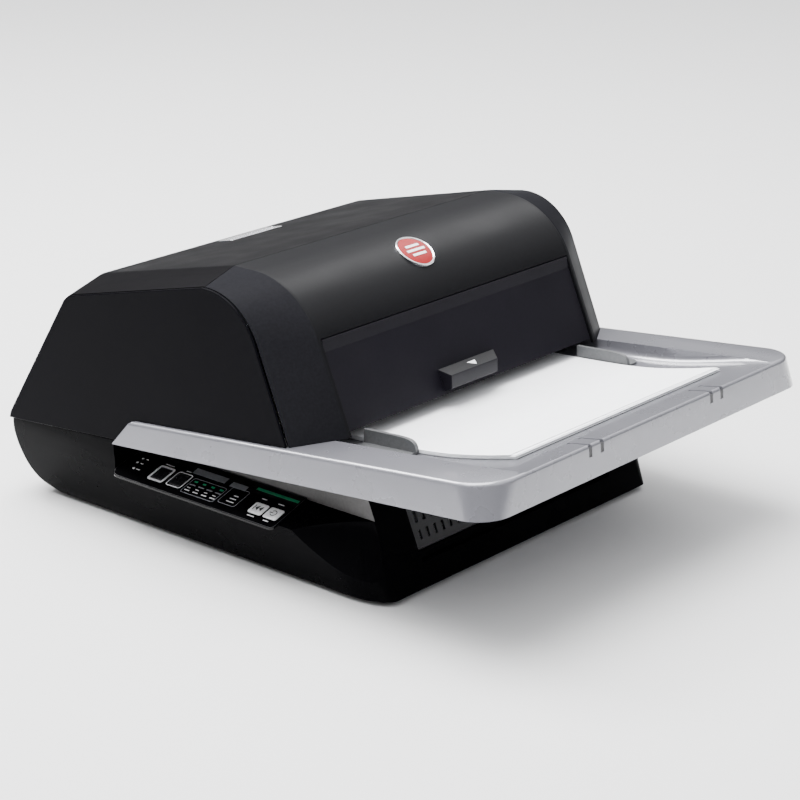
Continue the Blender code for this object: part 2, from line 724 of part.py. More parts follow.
def roller(name, centre, radius, half, left, right, material):
    """A roller with its journals, turned in one piece."""
    profile = [(left, 0), (left, SHAFT_R), (-half, SHAFT_R), (-half, radius), (half, radius),
               (half, SHAFT_R), (right, SHAFT_R), (right, 0)]
    return part(name, lathe_x(profile, centre), material, (0.0, *centre), smooth=True)


def rollers():
    """Every roller, from the pick roller in front to the pull rollers at the rear."""
    left, right = -PLATE_OUT - 2, PLATE_OUT + 12
    roller("pick_roller", PICK, 14.0, 35, -182, 166, "rubber")
    roller("feed_roller", FEED, 10.0, 150, -182, 172, "rubber")
    roller("pinch_roller", PINCH, 10.0, 150, left, 172, "rubber")
    for name, centre, radius in (("upper_heat_roller", HEAT_UPPER, HEAT_TEETH - 0.3),
                                 ("lower_heat_roller", HEAT_LOWER, HEAT_TEETH - 0.3),
                                 ("upper_pull_roller", PULL_UPPER, PULL_TEETH - 0.3),
                                 ("lower_pull_roller", PULL_LOWER, PULL_TEETH - 0.3)):
        material = "silicone" if "heat" in name else "rubber"
        roller(name, centre, radius, 158, left, right, material)


def gear_train():
    """Right-hand train from the motor to the heat and pull rollers, and left-hand feed train."""
    shaft, stud = SHAFT_R + GAP, SHAFT_R - 1 + GAP
    heat_phase = 0.0
    low, high = GEAR_IN, GEAR_OUT
    gear("lower_heat_gear", HEAT_TEETH, HEAT_LOWER, low, high, heat_phase, shaft)
    phase = next_phase(heat_phase, HEAT_TEETH, HEAT_LOWER, HEAT_TEETH, HEAT_UPPER)
    gear("upper_heat_gear", HEAT_TEETH, HEAT_UPPER, low, high, phase, shaft)
    idler_phase = next_phase(heat_phase, HEAT_TEETH, HEAT_LOWER, IDLER_TEETH, PULL_IDLER)
    gear("pull_idler_gear", IDLER_TEETH, PULL_IDLER, low, high, idler_phase, stud)
    pull_phase = next_phase(idler_phase, IDLER_TEETH, PULL_IDLER, PULL_TEETH, PULL_LOWER)
    gear("lower_pull_gear", PULL_TEETH, PULL_LOWER, low, high, pull_phase, shaft)
    phase = next_phase(pull_phase, PULL_TEETH, PULL_LOWER, PULL_TEETH, PULL_UPPER)
    gear("upper_pull_gear", PULL_TEETH, PULL_UPPER, low, high, phase, shaft)
    motor_idler_phase = next_phase(heat_phase, HEAT_TEETH, HEAT_LOWER, IDLER_TEETH, MOTOR_IDLER)
    gear("motor_idler_gear", IDLER_TEETH, MOTOR_IDLER, low, high, motor_idler_phase, stud)
    phase = next_phase(motor_idler_phase, IDLER_TEETH, MOTOR_IDLER, PINION_TEETH, MOTOR)
    pinion = gear("motor_pinion", PINION_TEETH, MOTOR, low, high, phase, 0.0, "steel")
    join(pinion, cutter("pinion_shaft", cylinder('x', MOTOR, 3.0, PLATE_IN - 0.8, high + 2, 12)))

    feed_phase = 0.0
    gear("feed_gear", FEED_TEETH, FEED, -high, -low, feed_phase, shaft)
    idler_phase = next_phase(feed_phase, FEED_TEETH, FEED, IDLER_TEETH, FEED_IDLER)
    gear("feed_idler_gear", IDLER_TEETH, FEED_IDLER, -high, -low, idler_phase, stud)
    phase = next_phase(idler_phase, IDLER_TEETH, FEED_IDLER, FEED_TEETH, PICK)
    gear("pick_gear", FEED_TEETH, PICK, -high, -low, phase, shaft)


def frame_plates():
    """Two side plates that carry every shaft, and the bars that tie them."""
    outline = [(122, 4), (122, 121), (84, 123.5), (84, 152), (104, 186), (150, 205), (296, 205),
               (332, 186), (398, 112), (398, 4)]
    shafts = [PICK, FEED, PINCH, HEAT_UPPER, HEAT_LOWER, PULL_UPPER, PULL_LOWER]
    for name, sign in (("left_frame_plate", -1), ("right_frame_plate", 1)):
        low, high = sorted((sign * PLATE_IN, sign * PLATE_OUT))
        plate = part(name, prism(outline, 'x', low, high), "steel")
        for k, shaft in enumerate(shafts):
            hole = cylinder('x', shaft, SHAFT_R + 0.4, low - 5, high + 5, 12)
            cut(plate, cutter(f"{name}_hole_{k}", hole))
        studs = [PULL_IDLER, MOTOR_IDLER] if sign > 0 else [FEED_IDLER]
        for k, stud in enumerate(studs):
            ends = sorted((sign * PLATE_IN, sign * (GEAR_OUT + 2)))
            join(plate, cutter(f"{name}_stud_{k}", cylinder('x', stud, SHAFT_R - 1, *ends, 12)))
        if sign > 0:
            hole = cylinder('x', MOTOR, 4.0, low - 5, high + 5, 12)
            cut(plate, cutter("motor_shaft_hole", hole))
    reach = PLATE_IN - GAP
    part("front_cross_bar", cylinder('x', (125, 176), 5, -reach, reach, 12), "steel")
    part("rear_cross_bar", cylinder('x', (388, 30), 5, -reach, reach, 12), "steel")


def film_cartridge():
    """Lift-out film frame with an upper and a lower film spool."""
    outline = rounded([(211, 36, 8, 2), (247, 36, 8, 2), (247, 226, 8, 2), (211, 226, 8, 2)])
    frame = part("film_cartridge", prism(outline, 'x', -164, -161), "dark_plastic",
                 (0.0, SPOOL_Y, SPOOL_UPPER_Z))
    join(frame, cutter("cartridge_handle", box((-163, 222, 216), (163, 236, 222))),
         cutter("cartridge_right", prism(outline, 'x', 161, 164)))
    for name, z, radius in (("upper_film_spool", SPOOL_UPPER_Z, 27.0),
                            ("lower_film_spool", SPOOL_LOWER_Z, 25.0)):
        journal = 5.0
        profile = [(-166, 0), (-166, journal), (-158, journal), (-158, 12), (-153, 12),
                   (-153, radius), (153, radius), (153, 12), (158, 12), (158, journal),
                   (166, journal), (166, 0)]
        part(name, lathe_x(profile, (SPOOL_Y, z)), "film", (0.0, SPOOL_Y, z), smooth=True)
        cut(frame, cutter(f"{name}_hole", cylinder('x', (SPOOL_Y, z), 5.5, -180, 180, 12)))


def cutter_unit():
    """Cross cutter: a rail, a carriage that runs along it, and the carriage's round blade."""
    part("cutter_rail", box((-PLATE_IN + GAP, CUTTER_Y - 4, 122), (PLATE_IN - GAP, CUTTER_Y + 4, 132)),
         "steel")
    y0, y1 = CUTTER_Y - 11, CUTTER_Y + 9
    outline = [(y0, 104), (CUTTER_Y - 4.6, 104), (CUTTER_Y - 4.6, 132.6), (CUTTER_Y + 4.6, 132.6),
               (CUTTER_Y + 4.6, 118), (y1, 118), (y1, 138), (y0, 138)]
    x0, x1 = CUTTER_PARK_X - 15, CUTTER_PARK_X + 15
    part("cutter_carriage", prism(outline, 'x', x0, x1), "dark_plastic", (CUTTER_PARK_X, CUTTER_Y, 118))
    part("cutter_wheel", cylinder('y', (CUTTER_PARK_X, 103), 9.0, y0 - 2.0, y0 - GAP, 20), "steel",
         (CUTTER_PARK_X, y0, 103))


def electrics():
    """Power supply, control board, motor, fan, mains inlet and mains switch."""
    part("power_supply", box((-150, 44, 4), (10, 112, 46)), "steel")
    board = part("control_board", box((24, 40, 6), (156, 114, 7.6)), "board")
    for k, (x, y, wide, tall) in enumerate(((50, 60, 16, 12), (90, 62, 24, 4), (130, 70, 12, 18),
                                            (60, 96, 30, 6), (120, 98, 22, 9))):
        join(board, cutter(f"board_part_{k}", box((x, y, 7), (x + wide, y + 12, 7.6 + tall))))
    part("drive_motor", cylinder('x', MOTOR, 16.5, 112, PLATE_IN - 1.2, 20), "steel",
         (0.0, *MOTOR), smooth=True)
    fan = part("fan_frame", box((-22, 424, 16), (22, 438, 60)), "dark_plastic")
    cut(fan, cutter("fan_bore", cylinder('y', (0, 38), 20.5, 410, 450, 20)))
    join(fan, cutter("fan_spider", box((-21, 436, 35), (21, 438, 41))))
    impeller = part("fan_impeller", cylinder('y', (0, 38), 8.0, 425, 435.4, 12), "dark_plastic",
                    (0.0, 430.0, 38.0))
    for k in range(6):
        angle = 2 * pi * k / 6
        bm = box((-1.0, 426, 7.0), (1.0, 434, 19.0))
        bmesh.ops.rotate(bm, verts=bm.verts, cent=(0, 430, 13), matrix=Matrix.Rotation(0.5, 3, 'Z'))
        bmesh.ops.rotate(bm, verts=bm.verts, cent=(0, 430, 0), matrix=Matrix.Rotation(angle, 3, 'Y'))
        bmesh.ops.translate(bm, verts=bm.verts, vec=(0, 0, 38))
        join(impeller, cutter(f"fan_blade_{k}", bm))
    inlet = part("power_inlet", box((-166, 430, 18.4), (-138, 450.6, 39.6)), "dark_plastic")
    cut(inlet, cutter("inlet_socket", box((-163, 436, 21.5), (-141, 460, 36.5))))
    for k, (x, z) in enumerate(((-159, 27), (-152, 31), (-145, 27))):
        join(inlet, cutter(f"inlet_pin_{k}", box((x - 1, 435, z - 2), (x + 1, 443, z + 2))))
    rocker = [(441.0, 23.0), (449.9, 23.0), (448.0, 30.0), (450.9, 37.0), (441.0, 37.0)]
    part("power_switch", prism(rocker, 'x', -125, -105), "button", (-115.0, 443.0, 30.0))


# ---------------------------------------------------------------- assembly

front_cowl()
top_cover()
cover_grip()
rear_cover()
side_panel("left_side_panel", -1)
side_panel("right_side_panel", 1)
feed_flap()
badge()
feed_tray()
paper_guides()
paper_stack()
base_tub()
front_grille()
control_panel()
feet()
frame_plates()
rollers()
gear_train()
film_cartridge()
cutter_unit()
electrics()
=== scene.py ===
from math import atan2, cos, pi, radians, sin, tan

import bmesh
import bpy
from mathutils import Matrix, Vector


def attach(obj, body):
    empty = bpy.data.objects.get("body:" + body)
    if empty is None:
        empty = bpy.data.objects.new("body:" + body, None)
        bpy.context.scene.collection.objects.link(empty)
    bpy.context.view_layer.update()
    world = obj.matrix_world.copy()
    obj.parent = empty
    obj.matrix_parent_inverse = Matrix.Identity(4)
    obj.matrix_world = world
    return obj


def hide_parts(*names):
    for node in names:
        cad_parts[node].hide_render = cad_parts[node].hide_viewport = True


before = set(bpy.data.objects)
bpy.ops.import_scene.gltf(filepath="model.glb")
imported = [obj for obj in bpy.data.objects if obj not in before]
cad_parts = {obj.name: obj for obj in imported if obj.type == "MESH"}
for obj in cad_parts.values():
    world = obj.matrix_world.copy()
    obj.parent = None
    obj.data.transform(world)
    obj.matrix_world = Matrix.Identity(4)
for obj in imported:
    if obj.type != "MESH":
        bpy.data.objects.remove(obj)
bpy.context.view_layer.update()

# Shapes are built in millimetres: X across, Y to the rear from the base's front bottom edge, and Z
# up from the base's underside. LIFT and SHIFT_Y bring them into the frame.
MM = 0.001
SHIFT_Y = -156.2
LIFT = 5.0
GAP = 0.3
WALL = 3.0
# Points closer than this are merged. A face with a hole comes out of a boolean as one long outline,
# and merging points on it could close the hole, so it is cut into triangles first.
MERGE_DISTANCE = 0.004
SIDES_AROUND_HOLE = 100

# Housing
BODY_HALF = 222.0
SHELL_HALF = 219.2
PANEL_IN = 219.5
HOOD_HALF = 175.0
CREASE_SOFTNESS = 3.0
FRONT_LEAN = 0.43
HOOD_TOP = 259.0
HOOD_RADIUS = 80.0
HOOD_CURVE_Y = 164.05
SLOPE_TOP_Y, SLOPE_TOP_Z = 360.0, 219.5
SLOPE_FOOT_Y, SLOPE_FOOT_Z = 443.0, 80.0
SEAM_Y = 188.5
SEAM_SIDE_Y = 180.0
COVER_REAR_Y = 354.0
BASE_HALF = 196.0
SIDE_TAPER_TOP = 80.0
REAR_Y = 450.3
FRONT_HALF = 177.5
FRONT_CORNER = 42.0

# Feed tray: half width, front and corner radius of the top and bottom edges
TRAY_TOP_EDGE = (226.5, -136.5, 36.0)
TRAY_LOW_EDGE = (231.0, -138.5, 27.0)
TRAY_SLAB_END = 104.0
TRAY_WALL_HEIGHT = 60.0
RIM_ROUND = 3.6
ROUND_STEPS = 5
RECESS_HALF = 185.0
RECESS_FILLET = 7.0
ARM_TOP_END = 275.0
ARM_LOW_END = 292.6
PINION_Y = 30.0
RACK_RADIUS = 10.0
SLOT_OFFSET = 3.0
SHEET_HALF = 147.6
SHEET_THICK = 0.34
SHEET_STEP = 0.52

# Feed flap and control ledge
FLAP_HALF = 171.0
FLAP_TOP_Z = 211.5
FLAP_LOW_Z = 136.0
FLAP_SET_BACK = 2.0
NOTCH_HALF = 2.2
LEDGE_OUT_X = -222.0
LEDGE_IN_X = -175.5
LEDGE_OUT_Z = 51.0
LEDGE_SLOPE = 15.5 / 46.5
LEDGE_FRONT_Y = 104.0
LEDGE_REAR_Y = 309.0

FLOOR_SIZE = 8.0
CAMERA_PLACE = Vector((-1.5602, -1.3521, 0.825))
CAMERA_AZIMUTH = radians(-49.19)
CAMERA_ELEVATION = radians(19.29)
LENS = 106.2
SENSOR = 36.0
SKY_HORIZON = 0.10
SKY_ZENITH = 2.6


# ---------------- materials

def map_range(nodes, *values):
    node = nodes.new("ShaderNodeMapRange")
    for name, value in zip(("From Min", "From Max", "To Min", "To Max"), values):
        node.inputs[name].default_value = value
    return node


class Shader:
    """A Principled material whose detail comes from procedural nodes."""

    def __init__(self, name, colour, roughness, metallic=0.0, specular=0.5, coat=0.0):
        self.material = bpy.data.materials.new(name)
        self.material.use_nodes = True
        self.nodes = self.material.node_tree.nodes
        self.links = self.material.node_tree.links
        self.shader = self.nodes["Principled BSDF"]
        self.colour = (*colour, 1.0)
        self.set("Base Color", self.colour)
        self.set("Roughness", roughness)
        self.set("Metallic", metallic)
        self.set("Specular IOR Level", specular)
        self.set("Coat Weight", coat)
        self.set("Coat Roughness", 0.12)
        self.roughness = roughness
        self.place = self.nodes.new("ShaderNodeTexCoord").outputs["Object"]
        self.height = None

    def set(self, socket, value):
        self.shader.inputs[socket].default_value = value

    def stretched(self, scale):
        """Object coordinates scaled along each axis, for brushed or banded detail."""
        mapping = self.nodes.new("ShaderNodeMapping")
        mapping.inputs["Scale"].default_value = scale
        self.links.new(self.place, mapping.inputs["Vector"])
        return mapping.outputs["Vector"]

    def noise(self, scale, detail=3.0, vector=None):
        node = self.nodes.new("ShaderNodeTexNoise")
        node.inputs["Scale"].default_value = scale
        node.inputs["Detail"].default_value = detail
        self.links.new(vector or self.place, node.inputs["Vector"])
        return node.outputs["Fac"]

    def cells(self, scale, feature='F1', output="Distance"):
        node = self.nodes.new("ShaderNodeTexVoronoi")
        node.feature = feature
        node.inputs["Scale"].default_value = scale
        self.links.new(self.place, node.inputs["Vector"])
        return node.outputs[output]

    def bands(self, scale, distortion):
        node = self.nodes.new("ShaderNodeTexWave")
        node.bands_direction = 'X'
        node.inputs["Scale"].default_value = scale
        node.inputs["Distortion"].default_value = distortion
        self.links.new(self.place, node.inputs["Vector"])
        return node.outputs["Fac"]

    def spread(self, source, low, high, start=0.3, end=0.7):
        """Map a texture's middle range to values from low to high."""
        node = map_range(self.nodes, start, end, low, high)
        self.links.new(source, node.inputs["Value"])
        return node.outputs["Result"]

    def vary_roughness(self, source, amount):
        result = self.spread(source, max(0.02, self.roughness - amount), self.roughness + amount)
        self.links.new(result, self.shader.inputs["Roughness"])

    def mix_into_colour(self):
        """A colour mix whose first input is the colour so far, and whose result replaces it."""
        mix = self.nodes.new("ShaderNodeMix")
        mix.data_type = 'RGBA'
        base = self.shader.inputs["Base Color"]
        if base.is_linked:
            self.links.new(base.links[0].from_socket, mix.inputs["A"])
        else:
            mix.inputs["A"].default_value = self.colour
        self.links.new(mix.outputs["Result"], base)
        return mix

    def vary_colour(self, source, low, high, start=0.3, end=0.7):
        """Multiply what the colour is so far by a factor from low to high."""
        mix = self.mix_into_colour()
        mix.blend_type = 'MULTIPLY'
        mix.inputs["Factor"].default_value = 1.0
        self.links.new(self.spread(source, low, high, start, end), mix.inputs["B"])

    def tint(self, source, colour, start, end):
        """Mix another colour in between two values of a texture."""
        mix = self.mix_into_colour()
        mix.inputs["B"].default_value = (*colour, 1.0)
        self.links.new(self.spread(source, 0.0, 1.0, start, end), mix.inputs["Factor"])

    def bump(self, source, depth, strength=1.0):
        """Raise the surface by up to a depth in millimetres, on top of any earlier bump."""
        node = self.nodes.new("ShaderNodeBump")
        node.inputs["Strength"].default_value = strength
        node.inputs["Distance"].default_value = depth * MM
        self.links.new(source, node.inputs["Height"])
        if self.height:
            self.links.new(self.height, node.inputs["Normal"])
        self.height = node.outputs["Normal"]
        self.links.new(self.height, self.shader.inputs["Normal"])


def moulded(name, colour, roughness, grain, specular=0.5):
    """Injection-moulded plastic: fine spark grain, slow gloss changes and faint colour drift."""
    made = Shader(name, colour, roughness, specular=specular)
    made.bump(made.noise(14.0, 1.0), 0.12, 0.15)
    made.bump(made.noise(2600.0, 2.0), grain)
    made.vary_roughness(made.noise(22.0, 4.0), 0.035)
    made.vary_colour(made.noise(420.0, 3.0), 0.88, 1.12)
    made.vary_colour(made.noise(9.0, 2.0), 0.92, 1.06)
    return made.material


def metallic_paint(name, colour, roughness):
    """Silver paint: small bright flakes under a thin clear coat."""
    made = Shader(name, colour, roughness, metallic=0.35, coat=0.9)
    flakes = made.cells(2600.0, output="Color")
    made.vary_colour(flakes, 0.95, 1.05, 0.2, 0.8)
    made.vary_colour(made.noise(12.0, 3.0), 0.98, 1.02)
    made.bump(made.noise(1900.0, 2.0), 0.002)
    made.vary_roughness(made.noise(30.0, 4.0), 0.015)
    return made.material


def sheet_paper(name):
    """Uncoated white sheets: fibres, cloudy formation and a soft matt surface."""
    made = Shader(name, (0.86, 0.87, 0.89), 0.9, specular=0.2)
    made.vary_colour(made.noise(90.0, 5.0), 0.975, 1.01)
    fibres = made.noise(900.0, 4.0, made.stretched((1.0, 3.5, 1.0)))
    made.vary_colour(fibres, 0.98, 1.01)
    made.bump(fibres, 0.02)
    made.set("Sheen Weight", 0.1)
    return made.material


def matt_rubber(name, colour):
    """Rubber or silicone, dusty and uneven."""
    made = Shader(name, colour, 0.82, specular=0.3)
    made.bump(made.noise(1500.0, 4.0), 0.03)
    made.vary_colour(made.noise(120.0, 5.0), 0.8, 1.5)
    made.vary_roughness(made.noise(60.0, 3.0), 0.08)
    return made.material


def brushed_steel(name, colour, roughness):
    """Rolled sheet steel: streaks along X, spangle and a few darker patches."""
    made = Shader(name, colour, roughness, metallic=1.0)
    streaks = made.noise(700.0, 4.0, made.stretched((0.03, 1.0, 1.0)))
    made.vary_roughness(streaks, 0.09)
    made.bump(streaks, 0.006)
    made.vary_colour(made.cells(160.0, output="Color"), 0.90, 1.06, 0.1, 0.9)
    made.vary_colour(made.noise(24.0, 4.0), 0.86, 1.05)
    return made.material


def polished_strip(name):
    """Polished metal with fine lines along X."""
    made = Shader(name, (0.82, 0.82, 0.84), 0.16, metallic=1.0)
    lines = made.noise(1800.0, 3.0, made.stretched((0.02, 1.0, 1.0)))
    made.vary_roughness(lines, 0.07)
    made.bump(lines, 0.003)
    made.vary_colour(made.noise(40.0, 3.0), 0.94, 1.02)
    return made.material


def wound_film(name):
    """Clear laminating film wound on its core: fine turns, haze and milky depth."""
    made = Shader(name, (0.62, 0.70, 0.74), 0.16, specular=0.6, coat=0.5)
    made.vary_colour(made.bands(900.0, 1.5), 0.93, 1.05, 0.0, 1.0)
    made.vary_colour(made.noise(16.0, 5.0), 0.86, 1.08)
    made.bump(made.noise(240.0, 2.0, made.stretched((4.0, 0.4, 0.4))), 0.02)
    made.vary_roughness(made.noise(45.0, 3.0), 0.06)
    return made.material


def circuit_board(name):
    """Green solder mask with copper tracks showing through."""
    made = Shader(name, (0.012, 0.10, 0.04), 0.35, coat=0.2)
    tracks = made.cells(420.0, 'DISTANCE_TO_EDGE')
    made.tint(tracks, (0.03, 0.20, 0.08), 0.10, 0.02)
    made.vary_colour(made.noise(60.0, 3.0), 0.8, 1.2)
    made.bump(tracks, 0.02)
    return made.material


def printed(name, colour):
    """Screen-printed ink, with the slightly uneven cover of a printed layer."""
    made = Shader(name, colour, 0.45)
    made.vary_colour(made.noise(900.0, 4.0), 0.86, 1.06)
    made.bump(made.noise(1400.0, 2.0), 0.004)
    return made.material


def pale_floor():
    made = Shader("floor", (0.66, 0.66, 0.66), 0.85, specular=0.1)
    made.vary_colour(made.noise(3.0, 2.0), 0.995, 1.0)
    return made.material


GRAIN = 0.012
M = {name: make(name, *values) for name, make, *values in (
    ("housing", moulded, (0.0022, 0.0021, 0.0030), 0.32, GRAIN, 0.022),
    ("hood", moulded, (0.0040, 0.0040, 0.0048), 0.36, 0.006, 0.11),
    # hood_band: the hood's own plastic painted a lighter grey with the specular almost off, a painted sheen
    # in place of the end bands' reflection.
    ("hood_band", moulded, (0.0095, 0.0095, 0.0112), 0.40, 0.004, 0.008),
    ("cover", moulded, (0.0030, 0.0028, 0.0034), 0.40, GRAIN, 0.024),
    ("flap", moulded, (0.0058, 0.0052, 0.0076), 0.36, GRAIN, 0.13),
    ("base", moulded, (0.0014, 0.0014, 0.0018), 0.28, GRAIN, 0.012),
    # recess_wall: the base's own black plastic painted a lighter warm grey, a painted reflection of the
    # tray and paper beside it.
    ("recess_wall", moulded, (0.050, 0.047, 0.047), 0.40, GRAIN, 0.4),
    ("pull", moulded, (0.0150, 0.0150, 0.0160), 0.50, 0.02, 0.12),
    ("tray_silver", metallic_paint, (0.170, 0.170, 0.190), 0.28),
    ("panel_gloss", moulded, (0.0020, 0.0020, 0.0024), 0.10, 0.001, 0.2),
    ("button", moulded, (0.86, 0.86, 0.87), 0.34, GRAIN),
    ("dark_button", moulded, (0.010, 0.010, 0.011), 0.28, GRAIN),
    ("dark_plastic", moulded, (0.014, 0.014, 0.016), 0.46, 0.02),
    ("guide_plastic", moulded, (0.075, 0.077, 0.080), 0.42, 0.02),
    ("paper", sheet_paper),
    ("rubber", matt_rubber, (0.012, 0.012, 0.012)),
    ("silicone", matt_rubber, (0.30, 0.07, 0.03)),
    ("steel", brushed_steel, (0.55, 0.56, 0.58), 0.30),
    ("bright_strip", polished_strip),
    ("badge_red", moulded, (0.22, 0.003, 0.005), 0.34, 0.002, 0.25),
    ("gear_plastic", moulded, (0.62, 0.60, 0.52), 0.42, 0.01),
    ("film", wound_film),
    ("board", circuit_board),
    ("ink_white", printed, (0.80, 0.80, 0.82)),
    ("ink_grey", printed, (0.22, 0.23, 0.25)),
    ("ink_green", printed, (0.010, 0.26, 0.11)),
    ("ink_dark", printed, (0.02, 0.02, 0.022)),
)}


# ---------------- shape tools, in millimetres

def mesh_from(bm, name="solid"):
    """Turn a bmesh into a mesh, and free it."""
    mesh = bpy.data.meshes.new(name)
    bm.to_mesh(mesh)
    bm.free()
    return mesh


def linked(name, data):
    """A new object in the scene."""
    thing = bpy.data.objects.new(name, data)
    bpy.context.scene.collection.objects.link(thing)
    return thing


def boolean(base, tool, operation='DIFFERENCE'):
    """Combine two closed bmeshes, use both up, and return the result."""
    things = []
    for bm in (base, tool):
        bmesh.ops.recalc_face_normals(bm, faces=bm.faces)
        things.append(linked("solid", mesh_from(bm)))
    modifier = things[0].modifiers.new("combine", 'BOOLEAN')
    modifier.operation = operation
    modifier.solver = 'EXACT'
    modifier.object = things[1]
    bpy.context.view_layer.update()
    graph = bpy.context.evaluated_depsgraph_get()
    mesh = bpy.data.meshes.new_from_object(things[0].evaluated_get(graph))
    result = bmesh.new()
    result.from_mesh(mesh)
    bpy.data.meshes.remove(mesh)
    for thing in things:
        old = thing.data
        bpy.data.objects.remove(thing, do_unlink=True)
        bpy.data.meshes.remove(old)
    return result


def carve(base, *tools):
    """Cut each tool out of the base, in order."""
    for tool in tools:
        base = boolean(base, tool)
    return base


def merge(base, *others):
    """Join solids into one."""
    for other in others:
        base = boolean(base, other, 'UNION')
    return base


def gather(*bms):
    """Put separate closed solids into one bmesh, without joining them."""
    whole = bmesh.new()
    for bm in bms:
        bmesh.ops.recalc_face_normals(bm, faces=bm.faces)
        mesh = mesh_from(bm)
        whole.from_mesh(mesh)
        bpy.data.meshes.remove(mesh)
    return whole


def piece(name, bm, material, body="root", nodes=(), edge=0.0, steps=2, angle=30):
    """A shown piece in the frame, riding a CAD body, with rounded edges where asked."""
    around_holes = [face for face in bm.faces if len(face.verts) >= SIDES_AROUND_HOLE]
    bmesh.ops.triangulate(bm, faces=around_holes)
    bmesh.ops.remove_doubles(bm, verts=bm.verts, dist=MERGE_DISTANCE)
    bmesh.ops.dissolve_degenerate(bm, edges=bm.edges, dist=MERGE_DISTANCE)
    bmesh.ops.recalc_face_normals(bm, faces=bm.faces)
    bmesh.ops.translate(bm, verts=bm.verts, vec=(0.0, SHIFT_Y, LIFT))
    bmesh.ops.scale(bm, verts=bm.verts, vec=(MM, MM, MM))
    mesh = mesh_from(bm, name)
    mesh.materials.append(M[material])
    mesh.shade_smooth()
    mesh.set_sharp_from_angle(angle=radians(angle))
    thing = linked(name, mesh)
    if edge:
        round_edges(thing, edge, steps, angle)
    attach(thing, body)
    if nodes:
        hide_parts(*nodes)
    return thing


def second_finish(thing, material, chosen):
    """Give the chosen faces of a piece another material."""
    thing.data.materials.append(M[material])
    for face in thing.data.polygons:
        if chosen(face):
            face.material_index = 1


def round_edges(thing, width, steps=2, angle=30):
    """Round an object's edges by a width in millimetres."""
    modifier = thing.modifiers.new("round_edges", 'BEVEL')
    modifier.width = width * MM
    modifier.segments = steps
    modifier.limit_method = 'ANGLE'
    modifier.angle_limit = radians(angle)
    modifier.harden_normals = True
    modifier.use_clamp_overlap = True
    modifier.miter_outer = 'MITER_ARC'


def prism(outline, axis, low, high):
    """Extrude a flat outline along an axis: (y, z) along X, (x, z) along Y, (x, y) along Z."""
    place = {
        'x': lambda a, b, c: (c, a, b),
        'y': lambda a, b, c: (a, c, b),
        'z': lambda a, b, c: (a, b, c),
    }[axis]
    return loft([[place(*point, level) for point in outline] for level in (low, high)])


def box(low, high):
    """A box between two corners."""
    bm = bmesh.new()
    bmesh.ops.create_cube(bm, size=1.0)
    bmesh.ops.scale(bm, verts=bm.verts, vec=[b - a for a, b in zip(low, high)])
    bmesh.ops.translate(bm, verts=bm.verts, vec=[(a + b) / 2 for a, b in zip(low, high)])
    return bm


def loft(rings, closed=False):
    """Skin between matching rings of points; the ends are flat unless the rings close on themselves."""
    bm = bmesh.new()
    rows = [[bm.verts.new(point) for point in ring] for ring in rings]
    pairs = list(zip(rows, rows[1:]))
    if closed:
        pairs.append((rows[-1], rows[0]))
    for row, following in pairs:
        for i in range(len(row)):
            j = (i + 1) % len(row)
            bm.faces.new((row[i], row[j], following[j], following[i]))
    if not closed:
        bm.faces.new(rows[0])
        bm.faces.new(rows[-1])
    return bm


def lathe(profile, place, steps=32, closed=False):
    """Turn a profile of (height, radius) points about an upright axis through a place."""
    rings = [[(radius * cos(2 * pi * k / steps), radius * sin(2 * pi * k / steps), height)
              for k in range(steps)] for height, radius in profile]
    bm = loft(rings, closed)
    bmesh.ops.translate(bm, verts=bm.verts, vec=place)
    return bm


def slab(outline, low, high):
    """A plate with a plan outline, between two surfaces given as functions of x and y."""
    return loft([[(x, y, low(x, y)) for x, y in outline], [(x, y, high(x, y)) for x, y in outline]])


def rectangle(x, y, half_x, half_y):
    """The corners of a rectangle about a point."""
    return [(x - half_x, y - half_y), (x + half_x, y - half_y),
            (x + half_x, y + half_y), (x - half_x, y + half_y)]


def all_rounded(corners, radius, steps):
    """An outline with the same arc at every corner."""
    return rounded([(a, b, radius, steps) for a, b in corners])


def rounded(corners):
    """A closed outline from (a, b), or (a, b, radius, steps) where the corner is an arc."""
    outline = []
    for i, corner in enumerate(corners):
        here = Vector(corner[:2])
        if len(corner) == 2:
            outline.append(tuple(here))
            continue
        radius, steps = corner[2:]
        before = (Vector(corners[i - 1][:2]) - here).normalized()
        after = (Vector(corners[(i + 1) % len(corners)][:2]) - here).normalized()
        half = before.angle(after) / 2
        centre = here + (before + after).normalized() * radius / sin(half)
        start = here + before * radius / tan(half) - centre
        end = here + after * radius / tan(half) - centre
        sweep = atan2(start.x * end.y - start.y * end.x, start.dot(end))
        for k in range(steps + 1):
            outline.append(tuple(centre + Matrix.Rotation(sweep * k / steps, 2) @ start))
    return outline


def inset(outline, distance):
    """Move every side of a closed outline inwards by a distance."""
    count = len(outline)
    area = sum(outline[i - 1][0] * outline[i][1] - outline[i][0] * outline[i - 1][1]
               for i in range(count))
    side = 1 if area > 0 else -1
    moved = []
    for i in range(count):
        here = Vector(outline[i])
        before = (here - Vector(outline[i - 1])).normalized()
        after = (Vector(outline[(i + 1) % count]) - here).normalized()
        normal_before = Vector((-before.y, before.x)) * side
        normal_after = Vector((-after.y, after.x)) * side
        middle = (normal_before + normal_after).normalized()
        moved.append(tuple(here + middle * distance / middle.dot(normal_before)))
    return moved


def mirrored(half):
    """A closed plan outline from its right half, listed from front to rear."""
    return half + [(-x, y) for x, y in reversed(half)]


def smooth_curve(points, steps):
    """A Catmull-Rom curve through points of any size."""
    points = [Vector(point) for point in points]
    first, last = 2 * points[0] - points[1], 2 * points[-1] - points[-2]
    padded = [first] + points + [last]
    curve = []
    for a, b, c, d in zip(padded, padded[1:], padded[2:], padded[3:]):
        for k in range(steps):
            t = k / steps
            curve.append(tuple(0.5 * (2 * b + (c - a) * t + (2 * a - 5 * b + 4 * c - d) * t * t
                                      + (3 * b - a - 3 * c + d) * t ** 3)))
    return curve + [tuple(points[-1])]


# ---------------- shared surfaces

def split_z(y):
    """Height of the plane that parts the base from the upper housing and the tray."""
    return 73.5 + 0.083 * (440.7 - y)


